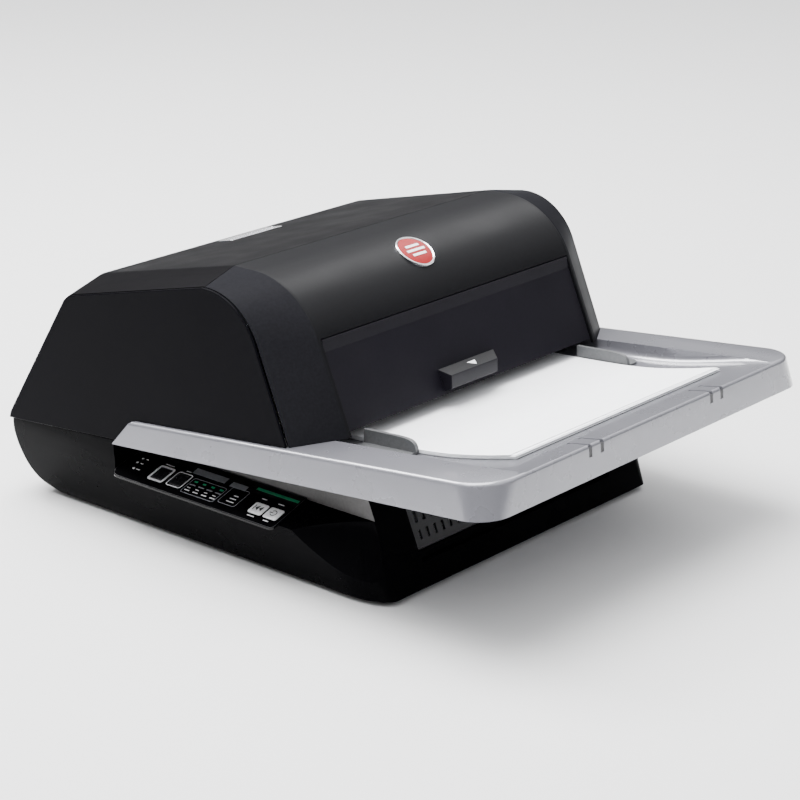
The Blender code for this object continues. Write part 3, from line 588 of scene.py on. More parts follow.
def tray_top_z(y):
    """Height of the tray rim's flat top, which rises towards the front."""
    return 151.5 - 0.101 * (y + 136.5)


def ledge_z(x):
    """Height of the control ledge, which rises inwards from its ridge."""
    return LEDGE_OUT_Z + LEDGE_SLOPE * (x - LEDGE_OUT_X)


def side_x(z):
    """Half width of the base: upright above the taper and drawn in below it."""
    return BODY_HALF - (BODY_HALF - BASE_HALF) * max(0.0, SIDE_TAPER_TOP - z) / SIDE_TAPER_TOP


HOOD_CENTRE = rounded([(FRONT_LEAN * 60, 60), (FRONT_LEAN * HOOD_TOP, HOOD_TOP, HOOD_RADIUS, 28),
                       (SEAM_Y, HOOD_TOP), (SLOPE_TOP_Y, SLOPE_TOP_Z, 10, 6),
                       (SLOPE_FOOT_Y, SLOPE_FOOT_Z), (447, 66)])
HOOD_SIDE = rounded([(56.6, 60), (137.3, 252, 62, 28), (181.6, 250.8), (356.1, 209.3, 20, 6),
                     (442, 80), (446.5, 66)])
FLOOR_CURVE = smooth_curve([(-134.5, 150.7), (-103, 144.6), (-68, 136.2), (-32, 128.6),
                            (4, 123.8), (60, 119.6), (TRAY_SLAB_END + 1, 117.5)], 6)


def floor_z(y):
    """Height of the tray's floor."""
    for (y0, z0), (y1, z1) in zip(FLOOR_CURVE, FLOOR_CURVE[1:]):
        if y <= y1:
            return z0 + (z1 - z0) * (y - y0) / (y1 - y0)
    return FLOOR_CURVE[-1][1]


def band_share(x, limit):
    """How far the section has changed from the middle one to the end one at a station."""
    run = limit - HOOD_HALF
    beyond = abs(x) - HOOD_HALF
    if abs(beyond) < CREASE_SOFTNESS:
        return (beyond + CREASE_SOFTNESS) ** 2 / (4 * CREASE_SOFTNESS * run)
    return max(0.0, beyond) / run


def hood_loft(depth, half, limit):
    """The housing as one solid with its skin moved inwards, and a soft crease at each end band."""
    centre, side = inset(HOOD_CENTRE, depth), inset(HOOD_SIDE, depth)
    inner = [HOOD_HALF - CREASE_SOFTNESS + k * CREASE_SOFTNESS / 2 for k in range(5)]
    stations = [half, (half + inner[-1]) / 2] + inner[::-1]
    stations = [-x for x in stations] + [0.0] + stations[::-1]
    rings = []
    for x in stations:
        share = band_share(x, limit)
        rings.append([(x, y0 + (y1 - y0) * share, z0 + (z1 - z0) * share)
                      for (y0, z0), (y1, z1) in zip(centre, side)])
    return loft(rings)


def region(centre, side):
    """A solid whose (y, z) outline changes from the middle to the sides."""
    return loft([[(x, y, z) for y, z in outline] for x, outline in
                 ((-SHELL_HALF, side), (-HOOD_HALF, centre), (HOOD_HALF, centre),
                  (SHELL_HALF, side))])


def shell(space):
    """The part of the housing's skin that lies in a region."""
    skin = boolean(hood_loft(0.0, BODY_HALF, BODY_HALF), hood_loft(WALL, BODY_HALF + 4, BODY_HALF + 4))
    return boolean(skin, space, 'INTERSECT')


# ---------------- upper housing

def front_cowl():
    """Curved front of the hood, with the flap's window."""
    def outline(seam):
        return [(0, tray_top_z(0) + GAP), (0, 300), (seam - GAP, 300), (seam - GAP, 200),
                (130, tray_top_z(130) + GAP)]
    window = box((-FLAP_HALF - 0.5, -10, 100), (FLAP_HALF + 0.5, 130, FLAP_TOP_Z + 0.5))
    bm = carve(shell(region(outline(SEAM_Y), outline(SEAM_SIDE_Y))), window)
    cowl = piece("front_cowl_shell", bm, "hood", nodes=["front_cowl"], edge=0.7)
    # The end bands belong to the same moulding as the hood; their lighter colour is painted sheen standing
    # in for reflected light.
    second_finish(cowl, "hood_band", lambda face: abs(face.center.x) > HOOD_HALF * MM)


def strip_bm(half, front, rear, low, high, corner):
    """A strip along the cover's plateau, from low to high above its surface."""
    outline = all_rounded([(-half, front), (half, front), (half, rear), (-half, rear)], corner, 5)
    return slab(outline, lambda x, y: cover_surface_z(y) + low, lambda x, y: cover_surface_z(y) + high)


def cover_surface_z(y):
    """Height of the top cover's plateau."""
    return HOOD_TOP - (y - SEAM_Y) * (HOOD_TOP - SLOPE_TOP_Z) / (SLOPE_TOP_Y - SEAM_Y)


def top_cover():
    """Lid over the cartridge, with a bright finger strip at its rear edge."""
    def outline(seam):
        return [(seam + GAP, 300), (COVER_REAR_Y, 300), (COVER_REAR_Y, 180), (seam + GAP, 200)]
    bm = shell(region(outline(SEAM_Y), outline(SEAM_SIDE_Y)))
    bm = carve(bm, strip_bm(35.0, 330.0, 351.0, -1.6, 10.0, 2.5))
    piece("top_cover_shell", bm, "cover", "top_cover", ["top_cover"], edge=0.6)
    grip = strip_bm(34.6, 330.4, 350.6, -1.3, 0.4, 2.2)
    hollow = strip_bm(31.0, 333.5, 342.0, -0.8, 3.0, 2.0)
    piece("cover_grip_strip", carve(grip, hollow), "bright_strip", "top_cover",
          nodes=["cover_grip"], edge=0.35)


def rear_cover():
    """Back of the hood, with the exit slot."""
    rear = 470.0
    outline = [(COVER_REAR_Y + GAP, 300), (rear, 300), (rear, split_z(rear) + GAP),
               (COVER_REAR_Y + GAP, split_z(COVER_REAR_Y) + GAP)]
    exit_slot = prism(all_rounded([(-160, 86), (160, 86), (160, 101), (-160, 101)], 4, 4),
                      'y', 400, 460)
    bm = carve(shell(region(outline, outline)), exit_slot)
    piece("rear_cover_shell", bm, "housing", nodes=["rear_cover"], edge=0.7)


def rear_screws():
    """Pan-head screws with a cross recess, in shallow rings on the rear slope."""
    run, fall = SLOPE_FOOT_Y - SLOPE_TOP_Y, SLOPE_TOP_Z - SLOPE_FOOT_Z
    slope = Vector((0.0, run, -fall)).normalized()
    normal = Vector((0.0, -slope.z, slope.y))
    turn = normal.to_track_quat('Z', 'Y').to_matrix().to_4x4()
    for k, (x, z) in enumerate(((-150, 190), (150, 190), (-150, 122), (150, 122))):
        y = SLOPE_TOP_Y + (SLOPE_TOP_Z - z) * run / fall
        seat = Matrix.Translation((x, y, z)) @ turn
        head = lathe([(-1.0, 3.6), (0.5, 3.6), (1.3, 3.0), (1.8, 1.6), (1.9, 0.2)], (0, 0, 0), steps=28)
        head = carve(head, box((-2.4, -0.45, 0.9), (2.4, 0.45, 3.0)),
                     box((-0.45, -2.4, 0.9), (0.45, 2.4, 3.0)))
        ring = lathe([(-1.0, 6.0), (0.6, 6.0), (0.9, 5.6), (0.9, 4.7), (0.4, 4.4), (-1.0, 4.4)],
                     (0, 0, 0), closed=True)
        for bm in (head, ring):
            bmesh.ops.transform(bm, matrix=seat, verts=bm.verts)
        piece(f"rear_screw_{k + 1}", head, "steel")
        piece(f"rear_screw_seat_{k + 1}", ring, "housing")


def side_panel(side, sign):
    """Flat end cap of the hood."""
    foot = TRAY_SLAB_END + 0.5
    outline = [(foot, split_z(foot) + GAP), (foot, tray_top_z(foot) + GAP),
               (86.0, tray_top_z(86.0) + GAP)] + HOOD_SIDE[1:-1] + [(444.0, split_z(444.0) + GAP)]
    plate = prism(outline, 'x', *sorted((sign * PANEL_IN, sign * BODY_HALF)))
    piece(f"{side}_side_plate", plate, "housing", nodes=[f"{side}_side_panel"], edge=0.9, steps=3)


def feed_flap():
    """Door over the feed: a bevelled strip along its top edge, a set-back face and a finger pull."""
    step_z = 200.5

    def front(z, depth=0.0):
        return FRONT_LEAN * z + depth
    span = [(-10, FLAP_LOW_Z), (130, FLAP_LOW_Z), (130, FLAP_TOP_Z), (-10, FLAP_TOP_Z)]
    bm = boolean(shell(region(span, span)),
                 box((-FLAP_HALF + 0.3, -20, 100), (FLAP_HALF - 0.3, 140, FLAP_TOP_Z - 0.6)), 'INTERSECT')
    face = [(front(FLAP_TOP_Z - 1.0), FLAP_TOP_Z - 1.0), (front(step_z, FLAP_SET_BACK), step_z),
            (front(130, FLAP_SET_BACK), 130), (front(130) - 30, 130), (front(130) - 30, FLAP_TOP_Z - 1.0)]
    bm = boolean(bm, prism(face, 'x', -180, 180))
    piece("feed_flap_door", bm, "flap", "feed_flap", ["feed_flap"], edge=0.4, angle=8)
    edge = front(157)
    back = FLAP_SET_BACK - GAP
    outline = rounded([(edge + back, 157.5), (edge - 14.2, 155.4, 0.8, 3), (edge - 14.9, 143.0, 2.5, 5),
                       (front(138.5) + back, 138.5)])
    bm = loft([[(-44.0, y, z) for y, z in outline],
               [(34.0 - 0.95 * max(0.0, edge - y), y, z) for y, z in outline]])
    pull = piece("flap_pull_grip", bm, "flap", "feed_flap",
                 ["flap_pull"], edge=0.5)
    second_finish(pull, "pull", lambda face: face.normal.z > 0.8)

    def pull_z(y):
        return 155.4 + (y - edge + 14.2) * 2.1 / (14.2 + back)
    mark = [(-10.5, edge - 4.0), (0.5, edge - 4.0), (-5.0, edge - 11.0)]
    bm = slab(mark, lambda x, y: pull_z(y) + 0.01, lambda x, y: pull_z(y) + 0.12)
    piece("flap_pull_mark", bm, "ink_white", "feed_flap")


def badge():
    """Domed disc in a bright ring, with a plain sheet symbol, all following the hood's curve."""
    angle = radians(60.5)
    centre = Vector((-10.0, HOOD_CURVE_Y - HOOD_RADIUS * cos(angle),
                     HOOD_TOP - HOOD_RADIUS + HOOD_RADIUS * sin(angle)))
    turn = Matrix.Translation(centre) @ Matrix.Rotation(pi / 2 - angle, 4, 'X')

    def drop(y):
        """How far the disc bends away at a distance from its middle; flatter than the hood."""
        return 0.6 * (HOOD_RADIUS - (HOOD_RADIUS ** 2 - y ** 2) ** 0.5)

    def placed(bm):
        bmesh.ops.transform(bm, matrix=turn, verts=bm.verts)
        return bm

    def disc(rings):
        """Rings of (radius, height) over the hood's cylinder, closed below and above."""
        steps = 64
        rows = [[(r * cos(2 * pi * k / steps), r * sin(2 * pi * k / steps),
                  h - drop(r * sin(2 * pi * k / steps))) for k in range(steps)] for r, h in rings]
        return placed(loft(rows))
    ring = disc([(16.9, -0.6), (19.2, -0.6), (19.2, 1.0), (18.8, 1.5), (18.1, 1.7), (17.4, 1.4),
                 (17.0, 0.9), (16.9, 0.6)][::-1])
    dome = disc([(17.0, -0.5), (17.0, 0.8), (15.0, 1.1), (10.0, 1.4), (5.0, 1.55), (0.3, 1.6)])
    piece("badge_ring", ring, "bright_strip")
    piece("badge_dome", dome, "badge_red", nodes=["badge"])

    def symbol_bar(half, middle):
        outline = rectangle(0.0, middle, half, 1.3)
        return placed(loft([[(x, y, level - drop(y)) for x, y in outline] for level in (1.2, 1.75)]))
    bars = [symbol_bar(*bar) for bar in ((8.5, 5.4), (11.5, 0.0), (8.5, -5.4))]
    piece("badge_mark", gather(*bars), "ink_white")


# ---------------- feed tray and its fittings

def tray_outline(share, draw_in, arm_end):
    """Plan of the tray part way from its bottom edge to its top edge, drawn in at the rim."""
    half, front, corner = [a + (b - a) * share for a, b in zip(TRAY_LOW_EDGE, TRAY_TOP_EDGE)]
    half, front, corner = half - draw_in, front + draw_in, corner - draw_in
    arc = rounded([(half - 80, front), (half, front, corner, 20), (half, 0)])[1:-1]
    inner = BODY_HALF + GAP
    return mirrored([(half - 80, front)] + arc + [(half, arm_end - 6), (half, arm_end),
                    (inner, arm_end), (inner, TRAY_SLAB_END)])


def tray_body():
    """Tray solid: drafted wall, then a quarter-round on its outer top edge."""
    rings = [[(x, y, split_z(y)) for x, y in tray_outline(0.0, 0.0, ARM_LOW_END)]]
    for k in range(ROUND_STEPS + 1):
        angle = pi / 2 * k / ROUND_STEPS
        draw_in = RIM_ROUND * (1 - cos(angle))
        below = RIM_ROUND * (1 - sin(angle))
        share = 1.0 - below / TRAY_WALL_HEIGHT
        arm_end = ARM_LOW_END + (ARM_TOP_END - ARM_LOW_END) * share - 2.2 * draw_in
        outline = tray_outline(share, draw_in, arm_end)
        rings.append([(x, y, tray_top_z(y) - below) for x, y in outline])
    return loft(rings)


def recess_bm():
    """Dish over the floor, with a fillet where the floor meets each side."""
    rings = []
    for y, z in FLOOR_CURVE:
        half = [(RECESS_HALF + 1.0, 175.0), (RECESS_HALF, z + RECESS_FILLET)]
        for k in range(1, 7):
            angle = pi / 2 * k / 6
            half.append((RECESS_HALF - RECESS_FILLET * (1 - cos(angle)),
                         z + RECESS_FILLET * (1 - sin(angle))))
        rings.append([(x, y, level) for x, level in half] + [(-x, y, level) for x, level in reversed(half)])
    return loft(rings)


def notch_bm(x):
    """Gauge notch over the tray's front edge: a slot down the front and a groove on the rim."""
    outline = [(-145, 140.5), (-134.2, 140.5), (-133, 149.2), (-113, 146.0), (-113, 160), (-145, 160)]
    return prism(outline, 'x', x - NOTCH_HALF, x + NOTCH_HALF)


def guide_slot_y(sign):
    return PINION_Y + sign * (RACK_RADIUS + SLOT_OFFSET)


def feed_tray():
    """Wrap-round tray: dished above and hollow below, with slots for the guides and gauge notches."""
    tools = [recess_bm()]
    under = [(y, z - WALL) for y, z in FLOOR_CURVE[4::4] if y < TRAY_SLAB_END - 4]
    under = [(-124, 90), (-124, floor_z(-124) - WALL)] + under
    under = under + [(TRAY_SLAB_END - 3, under[-1][1]), (TRAY_SLAB_END - 3, 90)]
    tools.append(prism(under, 'x', -RECESS_HALF + 3.5, RECESS_HALF - 3.5))
    side = [(-100, 90), (-100, tray_top_z(-100) - WALL), (96, tray_top_z(96) - WALL), (96, 90)]
    for sign in (-1, 1):
        tools.append(prism(side, 'x', *sorted((sign * (RECESS_HALF + 3.5), sign * (BODY_HALF + 0.5)))))
        slot_y = guide_slot_y(sign)
        low, high = sorted((sign * 160, sign * 62))
        slot = [(low, slot_y - 2), (high, slot_y - 2), (high, slot_y + 2), (low, slot_y + 2)]
        tools.append(prism(all_rounded(slot, 1.9, 4), 'z', 100, 140))
        tools += [notch_bm(sign * x) for x in (80, 96)]
    piece("feed_tray_shell", carve(tray_body(), *tools), "tray_silver", nodes=["feed_tray"],
          edge=0.7, steps=3, angle=32)
    # Dark blocks at the back of each gauge-notch slot: painted shade inside the slots.
    backs = [box((x - NOTCH_HALF + 0.1, -136.8, 140.7), (x + NOTCH_HALF - 0.1, -134.0, 148.4))
             for x in (-96, -80, 80, 96)]
    piece("rim_notch_painted_shade", gather(*backs), "dark_plastic", edge=0.3)


def paper_guides():
    """Side guides: a rounded fence over a flat foot, and the rack that drives it."""
    for name, sign in (("left", -1), ("right", 1)):
        fence = smooth_curve([(2, floor_z(2) + 0.4), (1.5, 128), (4, 133.5), (10, 136.2),
                              (22, 136.4)], 4)
        fence += [(60, 134.0), (60, floor_z(60) + 0.4), (30, floor_z(30) + 0.4)]
        wall = prism(fence, 'x', *sorted((sign * 149.2, sign * 153.0)))
        inner, outer = sign * 151.5, sign * 172.0
        plan = rounded([(inner, 3), (outer, 3, 9, 8), (outer, 60, 3, 4), (inner, 60)])
        foot = slab(plan, lambda x, y: floor_z(y) + 0.4, lambda x, y: floor_z(y) + 2.4)
        slot_y = guide_slot_y(sign)
        low, high = sorted((sign * 150.0, sign * 152.8))
        post = box((low, slot_y - 1.5, 108.6), (high, slot_y + 1.5, 126))
        bm = merge(wall, foot, post)
        piece(f"{name}_guide_fence", bm, "guide_plastic", f"{name}_guide", edge=0.8,
              steps=3)
        piece(f"{name}_guide_rack", rack_bm(sign), "dark_plastic", f"{name}_guide",
              nodes=[f"{name}_paper_guide"], edge=0.15, steps=1)


def rack_bm(sign):
    """Toothed bar under the tray floor."""
    module, pitch = 1.25, pi * 1.25
    slot_y = guide_slot_y(sign)
    root = PINION_Y + sign * (RACK_RADIUS + 1.25 * module)
    tip = root - sign * 2.0 * module
    outline = [(sign * 152.8, slot_y + sign * 1.5), (sign * 152.8, root)]
    for k in reversed(range(-2, 22)):
        centre = sign * (k - 0.5) * pitch
        outline += [(centre + sign * 0.27 * pitch, root), (centre + sign * 0.12 * pitch, tip),
                    (centre - sign * 0.12 * pitch, tip), (centre - sign * 0.27 * pitch, root)]
    outline += [(-sign * 13.0, root), (-sign * 13.0, slot_y + sign * 1.5)]
    return prism(outline, 'z', 108.65, 113.55)


def paper_stack():
    """Loose sheets on the floor, each a little out of line with the one below."""
    across = (-SHEET_HALF, -74.0, 0.0, 74.0, SHEET_HALF)
    section = [(x, 0.0) for x in across] + [(x, SHEET_THICK) for x in reversed(across)]
    sheets = []
    for k, (dx, dy, turn) in enumerate(((0.0, 0.0, 0.0), (0.4, -0.8, 0.0), (-0.5, 0.7, 0.0),
                                        (0.2, 2.6, 0.2), (-0.3, -1.0, -0.15), (0.5, 1.6, 0.3),
                                        (0.0, 5.2, -0.35))):
        base = GAP + 0.1 + SHEET_STEP * k
        lift = 0.35 * k / 6
        turned = Matrix.Rotation(radians(turn), 2)
        rings = []
        for step in range(33):
            y = -100 + 200 * step / 32
            height = base + lift * max(0.0, 1 - (y + 100) / 40) ** 2
            ring = []
            for x, level in section:
                px, py = turned @ Vector((x, y))
                px, py = max(-148.4, min(148.4, px + dx)), max(-100.4, min(101.6, py + dy))
                ring.append((px, py, floor_z(py) + height + level))
            rings.append(ring)
        sheets.append(loft(rings))
    piece("paper_sheets", gather(*sheets), "paper", "paper", nodes=["paper_stack"],
          angle=50)


# ---------------- base

def plan(z, rear, depth=0.0):
    """Plan outline of the base at a height, moved inwards by a depth."""
    wide, front = side_x(z), FRONT_LEAN * z
    half = [(FRONT_HALF, front)]
    for k in range(1, 17):
        angle = pi / 2 * k / 16
        half.append((FRONT_HALF + (wide - FRONT_HALF) * sin(angle),
                     front + FRONT_CORNER * (1 - cos(angle))))
    half += rounded([(wide, front + FRONT_CORNER), (wide, rear, 5, 6), (0, rear)])[1:-1]
    return inset(mirrored(half), depth) if depth else mirrored(half)


BASE_LEVELS = smooth_curve([(0, 410), (6, 431.6), (17.5, 444.2), (34, 449.6), (52, REAR_Y),
                            (70.7, 445.4), (125, 420)], 3)


def scoop_bm(grow):
    """Space over the control ledge, open to the front and to the left."""
    def ring(y, wall_x, lean=0.0):
        wall_x += grow
        top = split_z(y) - WALL - 0.3 + (40 if grow else 0)
        return [(-245, y, ledge_z(-245) - 2.3 - grow), (wall_x, y, ledge_z(wall_x) - 2.3 - grow),
                (wall_x, y - lean, top), (-245, y - lean, top)]
    ends = [ring(LEDGE_REAR_Y - 16 + 16.5 * sin(a) + grow, LEDGE_IN_X - 20 * (1 - cos(a)),
                 8 * sin(a)) for a in [pi / 2 * k / 10 for k in range(11)]]
    return loft([ring(-60, LEDGE_IN_X)] + ends)


def sweep_bm(grow):
    """Concave flank in front of the ledge, full at ledge height and fading out at the bottom."""
    def ring(z, reach, power):
        front = FRONT_LEAN * z
        points = []
        for k in range(25):
            t = k / 24
            y = front - 4 + (LEDGE_FRONT_Y + grow - front + 4) * t
            points.append((-176.3 - reach * t ** power + grow, y, z))
        return points + [(-260, LEDGE_FRONT_Y + grow, z), (-260, -60, z), (-176.3 + grow, -60, z)]
    return loft([ring(-1 - grow, 66, 0.5), ring(54, 47, 1.6), ring(66 + 60 * (grow > 0), 47, 1.6)])


BUTTONS = [
    ("mode_button", -203.0, 259.0, (15.0, 14.0)),
    ("stop_button", -203.0, 236.0, (15.0, 14.0)),
    ("feed_key", -205.0, 136.0, (13.0, 15.6)),
    ("power_key", -205.0, 118.0, (13.0, 15.6)),
]


def button_outline(x, y, size, grow, corner):
    """A key's plan, grown by a margin, with rounded corners."""
    return all_rounded(rectangle(x, y, size[0] / 2 + grow, size[1] / 2 + grow), corner, 5)


def on_ledge(outline, low, high):
    """A plate that follows the ledge between two heights above it."""
    return slab(outline, lambda x, y: ledge_z(x) + low, lambda x, y: ledge_z(x) + high)


def base_tub():
    """Lower casing, with the ledge's recess, the flank in front of it and the rear openings."""
    tub = loft([[(x, y, z) for x, y in plan(z, rear)] for z, rear in BASE_LEVELS])
    hollow = [[(x, y, max(z, WALL)) for x, y in plan(z, rear, WALL)] for z, rear in BASE_LEVELS[1:]]
    hollow[0] = [(x, y, WALL) for x, y in plan(WALL, 424, WALL)]
    hollow = [hollow[0]] + [ring for ring in hollow[1:] if ring[0][2] > WALL + 1]
    hollow[-1] = [(x, y, 140) for x, y, z in hollow[-1]]
    space = carve(loft(hollow), scoop_bm(WALL), sweep_bm(WALL))
    top = [(-60, split_z(-60) - GAP), (470, split_z(470) - GAP), (470, 200), (-60, 200)]
    tools = [space, scoop_bm(0.0), sweep_bm(0.0), prism(top, 'x', -260, 260),
             box((-136, -10, 28), (136, 60, 92)), box((-136, -10, 19.5), (136, 30, 23.5))]
    tools += [on_ledge(button_outline(x, y, size, 0.4, 2.0), -7.0, 6.0) for _, x, y, size in BUTTONS]
    tools += [box((-166.4, 430, 18), (-137.6, 470, 40)), box((-125.4, 430, 21.2), (-104.6, 470, 38.8))]
    for k in range(9):
        x = -40 + 10 * k
        tools.append(prism(all_rounded(rectangle(x, 38, 2, 20), 1.9, 4), 'y', 430, 470))
    tub = carve(tub, *tools)
    shell_object = piece("base_tub_shell", tub, "base", nodes=["base_tub"], edge=0.8,
                         angle=32)
    wall_x, wall_y = (LEDGE_IN_X - 8) * MM, (LEDGE_FRONT_Y + SHIFT_Y) * MM
    wall_z = (ledge_z(LEDGE_IN_X) + LIFT - 1.0) * MM
    # The upright wall over the control ledge gets the lighter finish: painted reflection of the tray and
    # paper on the black base.
    second_finish(shell_object, "recess_wall", lambda face: face.normal.x < -0.8 and all(
        at > limit for at, limit in zip(face.center, (wall_x, wall_y, wall_z))))


def control_panel():
    """Glossy plate on the ledge, with holes for the keys and a dark printed line inside its edge; the other
    print, the keys and the indicator lenses are made by panel_print and buttons.
    """
    corner = rounded([(LEDGE_OUT_X + 0.6, LEDGE_FRONT_Y + 0.6, 4, 5),
                      (LEDGE_IN_X - 0.4, LEDGE_FRONT_Y + 0.6, 2, 4),
                      (LEDGE_IN_X - 0.4, LEDGE_REAR_Y - 0.5, 25, 14),
                      (LEDGE_OUT_X + 0.6, LEDGE_REAR_Y - 0.5, 10, 8)])
    panel = on_ledge(corner, -2.0, 0.0)
    holes = [on_ledge(button_outline(x, y, size, 0.4, 2.0), -9.0, 9.0) for _, x, y, size in BUTTONS]
    piece("control_panel_plate", carve(panel, *holes), "panel_gloss", nodes=["control_panel"],
          edge=0.35)
    rim = loft([[(x, y, ledge_z(x) + level) for x, y in inset(corner, depth)]
                for depth, level in ((0.5, 0.01), (0.5, 0.10), (1.0, 0.10), (1.0, 0.01))], closed=True)
    piece("panel_rim_line", rim, "ink_dark")


def bar(x, y, wide, deep, low=0.02, high=0.12):
    """A printed bar on the ledge, centred at a point."""
    return on_ledge(rectangle(x, y, wide / 2, deep / 2), low, high)


def outline_band(x, y, size, grow, width):
    """A printed outline round a key or a field."""
    outer = button_outline(x, y, size, grow, 2.6)
    inner = inset(outer, width)
    return loft([[(a, b, ledge_z(a) + level) for a, b in ring] for ring, level in
                 ((outer, 0.02), (outer, 0.14), (inner, 0.14), (inner, 0.02))], closed=True)


def panel_print():
    """Printed outlines, rules and indicator marks; every mark is a plain bar or frame."""
    white = [outline_band(-203.0, 259.0, (15.0, 14.0), 2.6, 2.1),
             outline_band(-203.0, 236.0, (15.0, 14.0), 2.2, 1.0)]
    grey = [outline_band(-205.0, 203.5, (20.0, 41.0), 0.0, 0.5),
            outline_band(-201.5, 169.5, (22.0, 21.0), 0.0, 0.5),
            bar(-187.0, 212.0, 7.0, 40.0), bar(-188.5, 175.5, 6.0, 19.0)]
    green = [bar(-184.0, 132.5, 3.0, 50.0)]
    for k in range(4):
        y = 187.0 + 10.5 * k
        white.append(bar(-211.0, y, 1.1, 6.0))
        white.append(bar(-207.5, y + 1.0, 0.9, 4.0))
        grey.append(bar(-203.5, y, 1.2, 7.0))
        green.append(bar(-199.0, y, 2.0, 4.0))
    for k in range(3):
        white.append(bar(-208.0 + 4.0 * k, 168.0, 0.9, 9.0 - 2.0 * k))
    for k, (x, y) in enumerate(((-206.8, 289.6), (-199.0, 292.7), (-192.7, 291.8))):
        white.append(bar(x, y - 4.0, 0.9, 5.0 - k))
        lens = lathe([(-0.4, 1.3), (0.25, 1.3), (0.45, 0.9), (0.5, 0.2)], (x, y + 1.5, ledge_z(x)))
        piece(f"indicator_lens_{k + 1}", lens, "ink_white")
    for y in (262.0, 256.5):
        white.append(bar(-190.5, y, 0.9, 7.0 if y > 260 else 4.0))
    white += [bar(-190.5, 236.0, 0.9, 6.0), bar(-215.2, 136.0, 0.9, 8.0), bar(-215.2, 118.0, 0.9, 6.0),
              bar(-193.0, 140.0, 0.9, 6.0), bar(-193.0, 120.0, 0.9, 7.0)]
    piece("panel_print_white", gather(*white), "ink_white")
    piece("panel_print_grey", gather(*grey), "ink_grey")
    piece("panel_print_green", gather(*green), "ink_green")


def buttons():
    """Four caps: two dark keys in printed frames, and two pale keys with dark symbols."""
    for name, x, y, size in BUTTONS:
        pale = name.endswith("key")
        outline = button_outline(x, y, size, 0.0, 1.7)
        middle = button_outline(x, y, size, -2.5, 0.9)
        bm = loft([[(a, b, ledge_z(a) + level) for a, b in ring] for ring, level in
                   ((outline, -3.4), (outline, 0.1), (inset(outline, 0.25), 0.42),
                    (inset(outline, 0.6), 0.56), (middle, 0.6))])
        piece(f"{name}_cap", bm, "button" if pale else "dark_button", name, [name], angle=40)
    top, ink = 0.61, 0.70
    feed = [on_ledge(points, top, ink) for points in
            ([(-208.2, 131.5), (-201.8, 131.5), (-205.0, 135.2)],
             [(-208.2, 135.8), (-201.8, 135.8), (-205.0, 139.5)])]
    feed.append(bar(-205.0, 140.6, 6.4, 0.9, top, ink))
    piece("feed_key_mark", gather(*feed), "ink_dark", "feed_key")
    arc = [pi / 2 + 0.6 + (2 * pi - 1.2) * k / 24 for k in range(25)]
    ring = [(-205.0 + 3.4 * cos(a), 118.0 + 3.4 * sin(a)) for a in arc]
    ring += [(-205.0 + 2.6 * cos(a), 118.0 + 2.6 * sin(a)) for a in reversed(arc)]
    power = [on_ledge(ring, top, ink), bar(-205.0, 120.6, 0.9, 4.0, top, ink)]
    piece("power_key_mark", gather(*power), "ink_dark", "power_key")


def feet():
    """Turned rubber feet with a chamfer and a hollow tread."""
    for corner, x, y in (("front_left", -160, 40), ("front_right", 160, 40),
                         ("rear_left", -170, 385), ("rear_right", 170, 385)):
        profile = [(-GAP, 10.0), (-1.2, 10.0), (-4.2, 9.6), (-4.8, 9.2), (-5.0, 8.6), (-5.0, 6.2),
                   (-4.2, 5.6), (-4.2, 0.4)]
        piece(f"foot_{corner}_pad", lathe(profile, (x, y, 0.0)), "rubber",
              nodes=[f"foot_{corner}"])


# ---------------- carried-over CAD nodes

CARRIED = {
    "front_grille": ("dark_plastic", 0.3),
    "film_cartridge": ("dark_plastic", 0.5),
    "cutter_carriage": ("dark_plastic", 0.5),
    "fan_frame": ("dark_plastic", 0.4),
    "fan_impeller": ("dark_plastic", 0.2),
    "power_inlet": ("dark_plastic", 0.3),
    "power_switch": ("dark_button", 0.4),
    "control_board": ("board", 0.1),
    "upper_film_spool": ("film", 0.0),
    "lower_film_spool": ("film", 0.0),
    "guide_pinion": ("gear_plastic", 0.1),
}


def carried_material(name):
    """Finish and edge rounding of a CAD node that stays in view."""
    if name in CARRIED:
        return CARRIED[name]
    if name.endswith("_gear"):
        return "gear_plastic", 0.15
    if name.endswith("heat_roller"):
        return "silicone", 0.0
    if name.endswith("_roller"):
        return "rubber", 0.0
    return "steel", 0.3


def dress_cad_nodes():
    for name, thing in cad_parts.items():
        if thing.hide_render:
            continue
        material, edge = carried_material(name)
        for material_slot in thing.material_slots:
            material_slot.material = M[material]
        if edge:
            round_edges(thing, edge, 2)


# ---------------- floor, light and camera

def add_floor():
    bm = bmesh.new()
    bmesh.ops.create_grid(bm, x_segments=2, y_segments=2, size=FLOOR_SIZE)
    mesh = mesh_from(bm, "floor")
    mesh.materials.append(pale_floor())
    linked("floor", mesh)


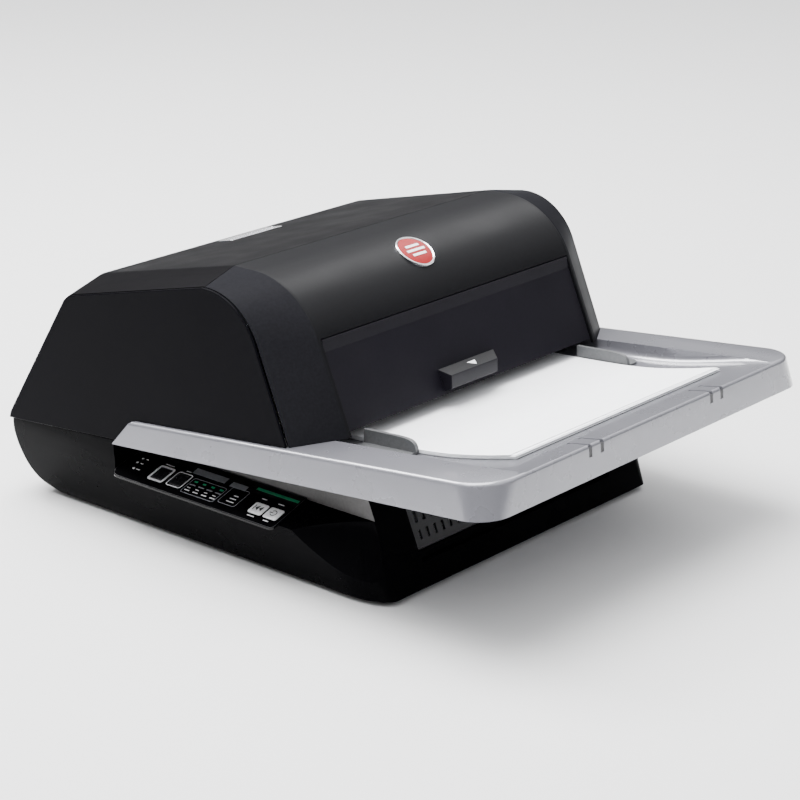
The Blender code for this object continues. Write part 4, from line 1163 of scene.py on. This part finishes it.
def add_light(name, place, target, size, power):
    data = bpy.data.lights.new(name, 'AREA')
    data.shape = 'RECTANGLE'
    data.size, data.size_y = size
    data.energy = power
    light = linked(name, data)
    light.location = place
    aim = Vector(target) - Vector(place)
    light.rotation_euler = aim.to_track_quat('-Z', 'Y').to_euler()


def add_camera():
    a, e = CAMERA_AZIMUTH, CAMERA_ELEVATION
    back = Vector((sin(a) * cos(e), -cos(a) * cos(e), sin(e)))
    right = Vector((cos(a), sin(a), 0.0))
    data = bpy.data.cameras.new("camera")
    data.lens = LENS
    data.sensor_width = SENSOR
    camera = linked("camera", data)
    camera.matrix_world = Matrix((right, back.cross(right), back)).transposed().to_4x4()
    camera.location = CAMERA_PLACE
    bpy.context.scene.camera = camera


def add_studio():
    """A sky that brightens towards the zenith, with soft boxes above, to the right and behind."""
    world = bpy.data.worlds.new("studio")
    bpy.context.scene.world = world
    world.use_nodes = True
    nodes, links = world.node_tree.nodes, world.node_tree.links
    background = nodes["Background"]
    background.inputs["Color"].default_value = (0.98, 0.985, 1.0, 1.0)
    direction = nodes.new("ShaderNodeTexCoord").outputs["Generated"]
    split = nodes.new("ShaderNodeSeparateXYZ")
    rise = map_range(nodes, 0.10, 0.95, SKY_HORIZON, SKY_ZENITH)
    rise.interpolation_type = 'SMOOTHSTEP'
    links.new(direction, split.inputs["Vector"])
    links.new(split.outputs["Z"], rise.inputs["Value"])
    links.new(rise.outputs["Result"], background.inputs["Strength"])
    add_light("overhead", (-0.3, 0.35, 2.2), (0.0, -0.05, 0.1), (2.2, 1.6), 170.0)
    add_light("right_box", (1.8, 0.4, 2.0), (0.0, -0.05, 0.15), (1.0, 1.0), 13.0)
    add_light("back_box", (-0.3, 2.1, 2.4), (-0.1, -0.05, 0.15), (1.5, 0.8), 110.0)
    add_light("front_fill", (-0.6, -2.6, 1.6), (0.0, 0.0, 0.1), (1.8, 1.2), 2.0)


front_cowl()
top_cover()
rear_cover()
rear_screws()
side_panel("left", -1)
side_panel("right", 1)
feed_flap()
badge()
feed_tray()
paper_guides()
paper_stack()
base_tub()
control_panel()
panel_print()
buttons()
feet()
dress_cad_nodes()
add_floor()
add_studio()
add_camera()
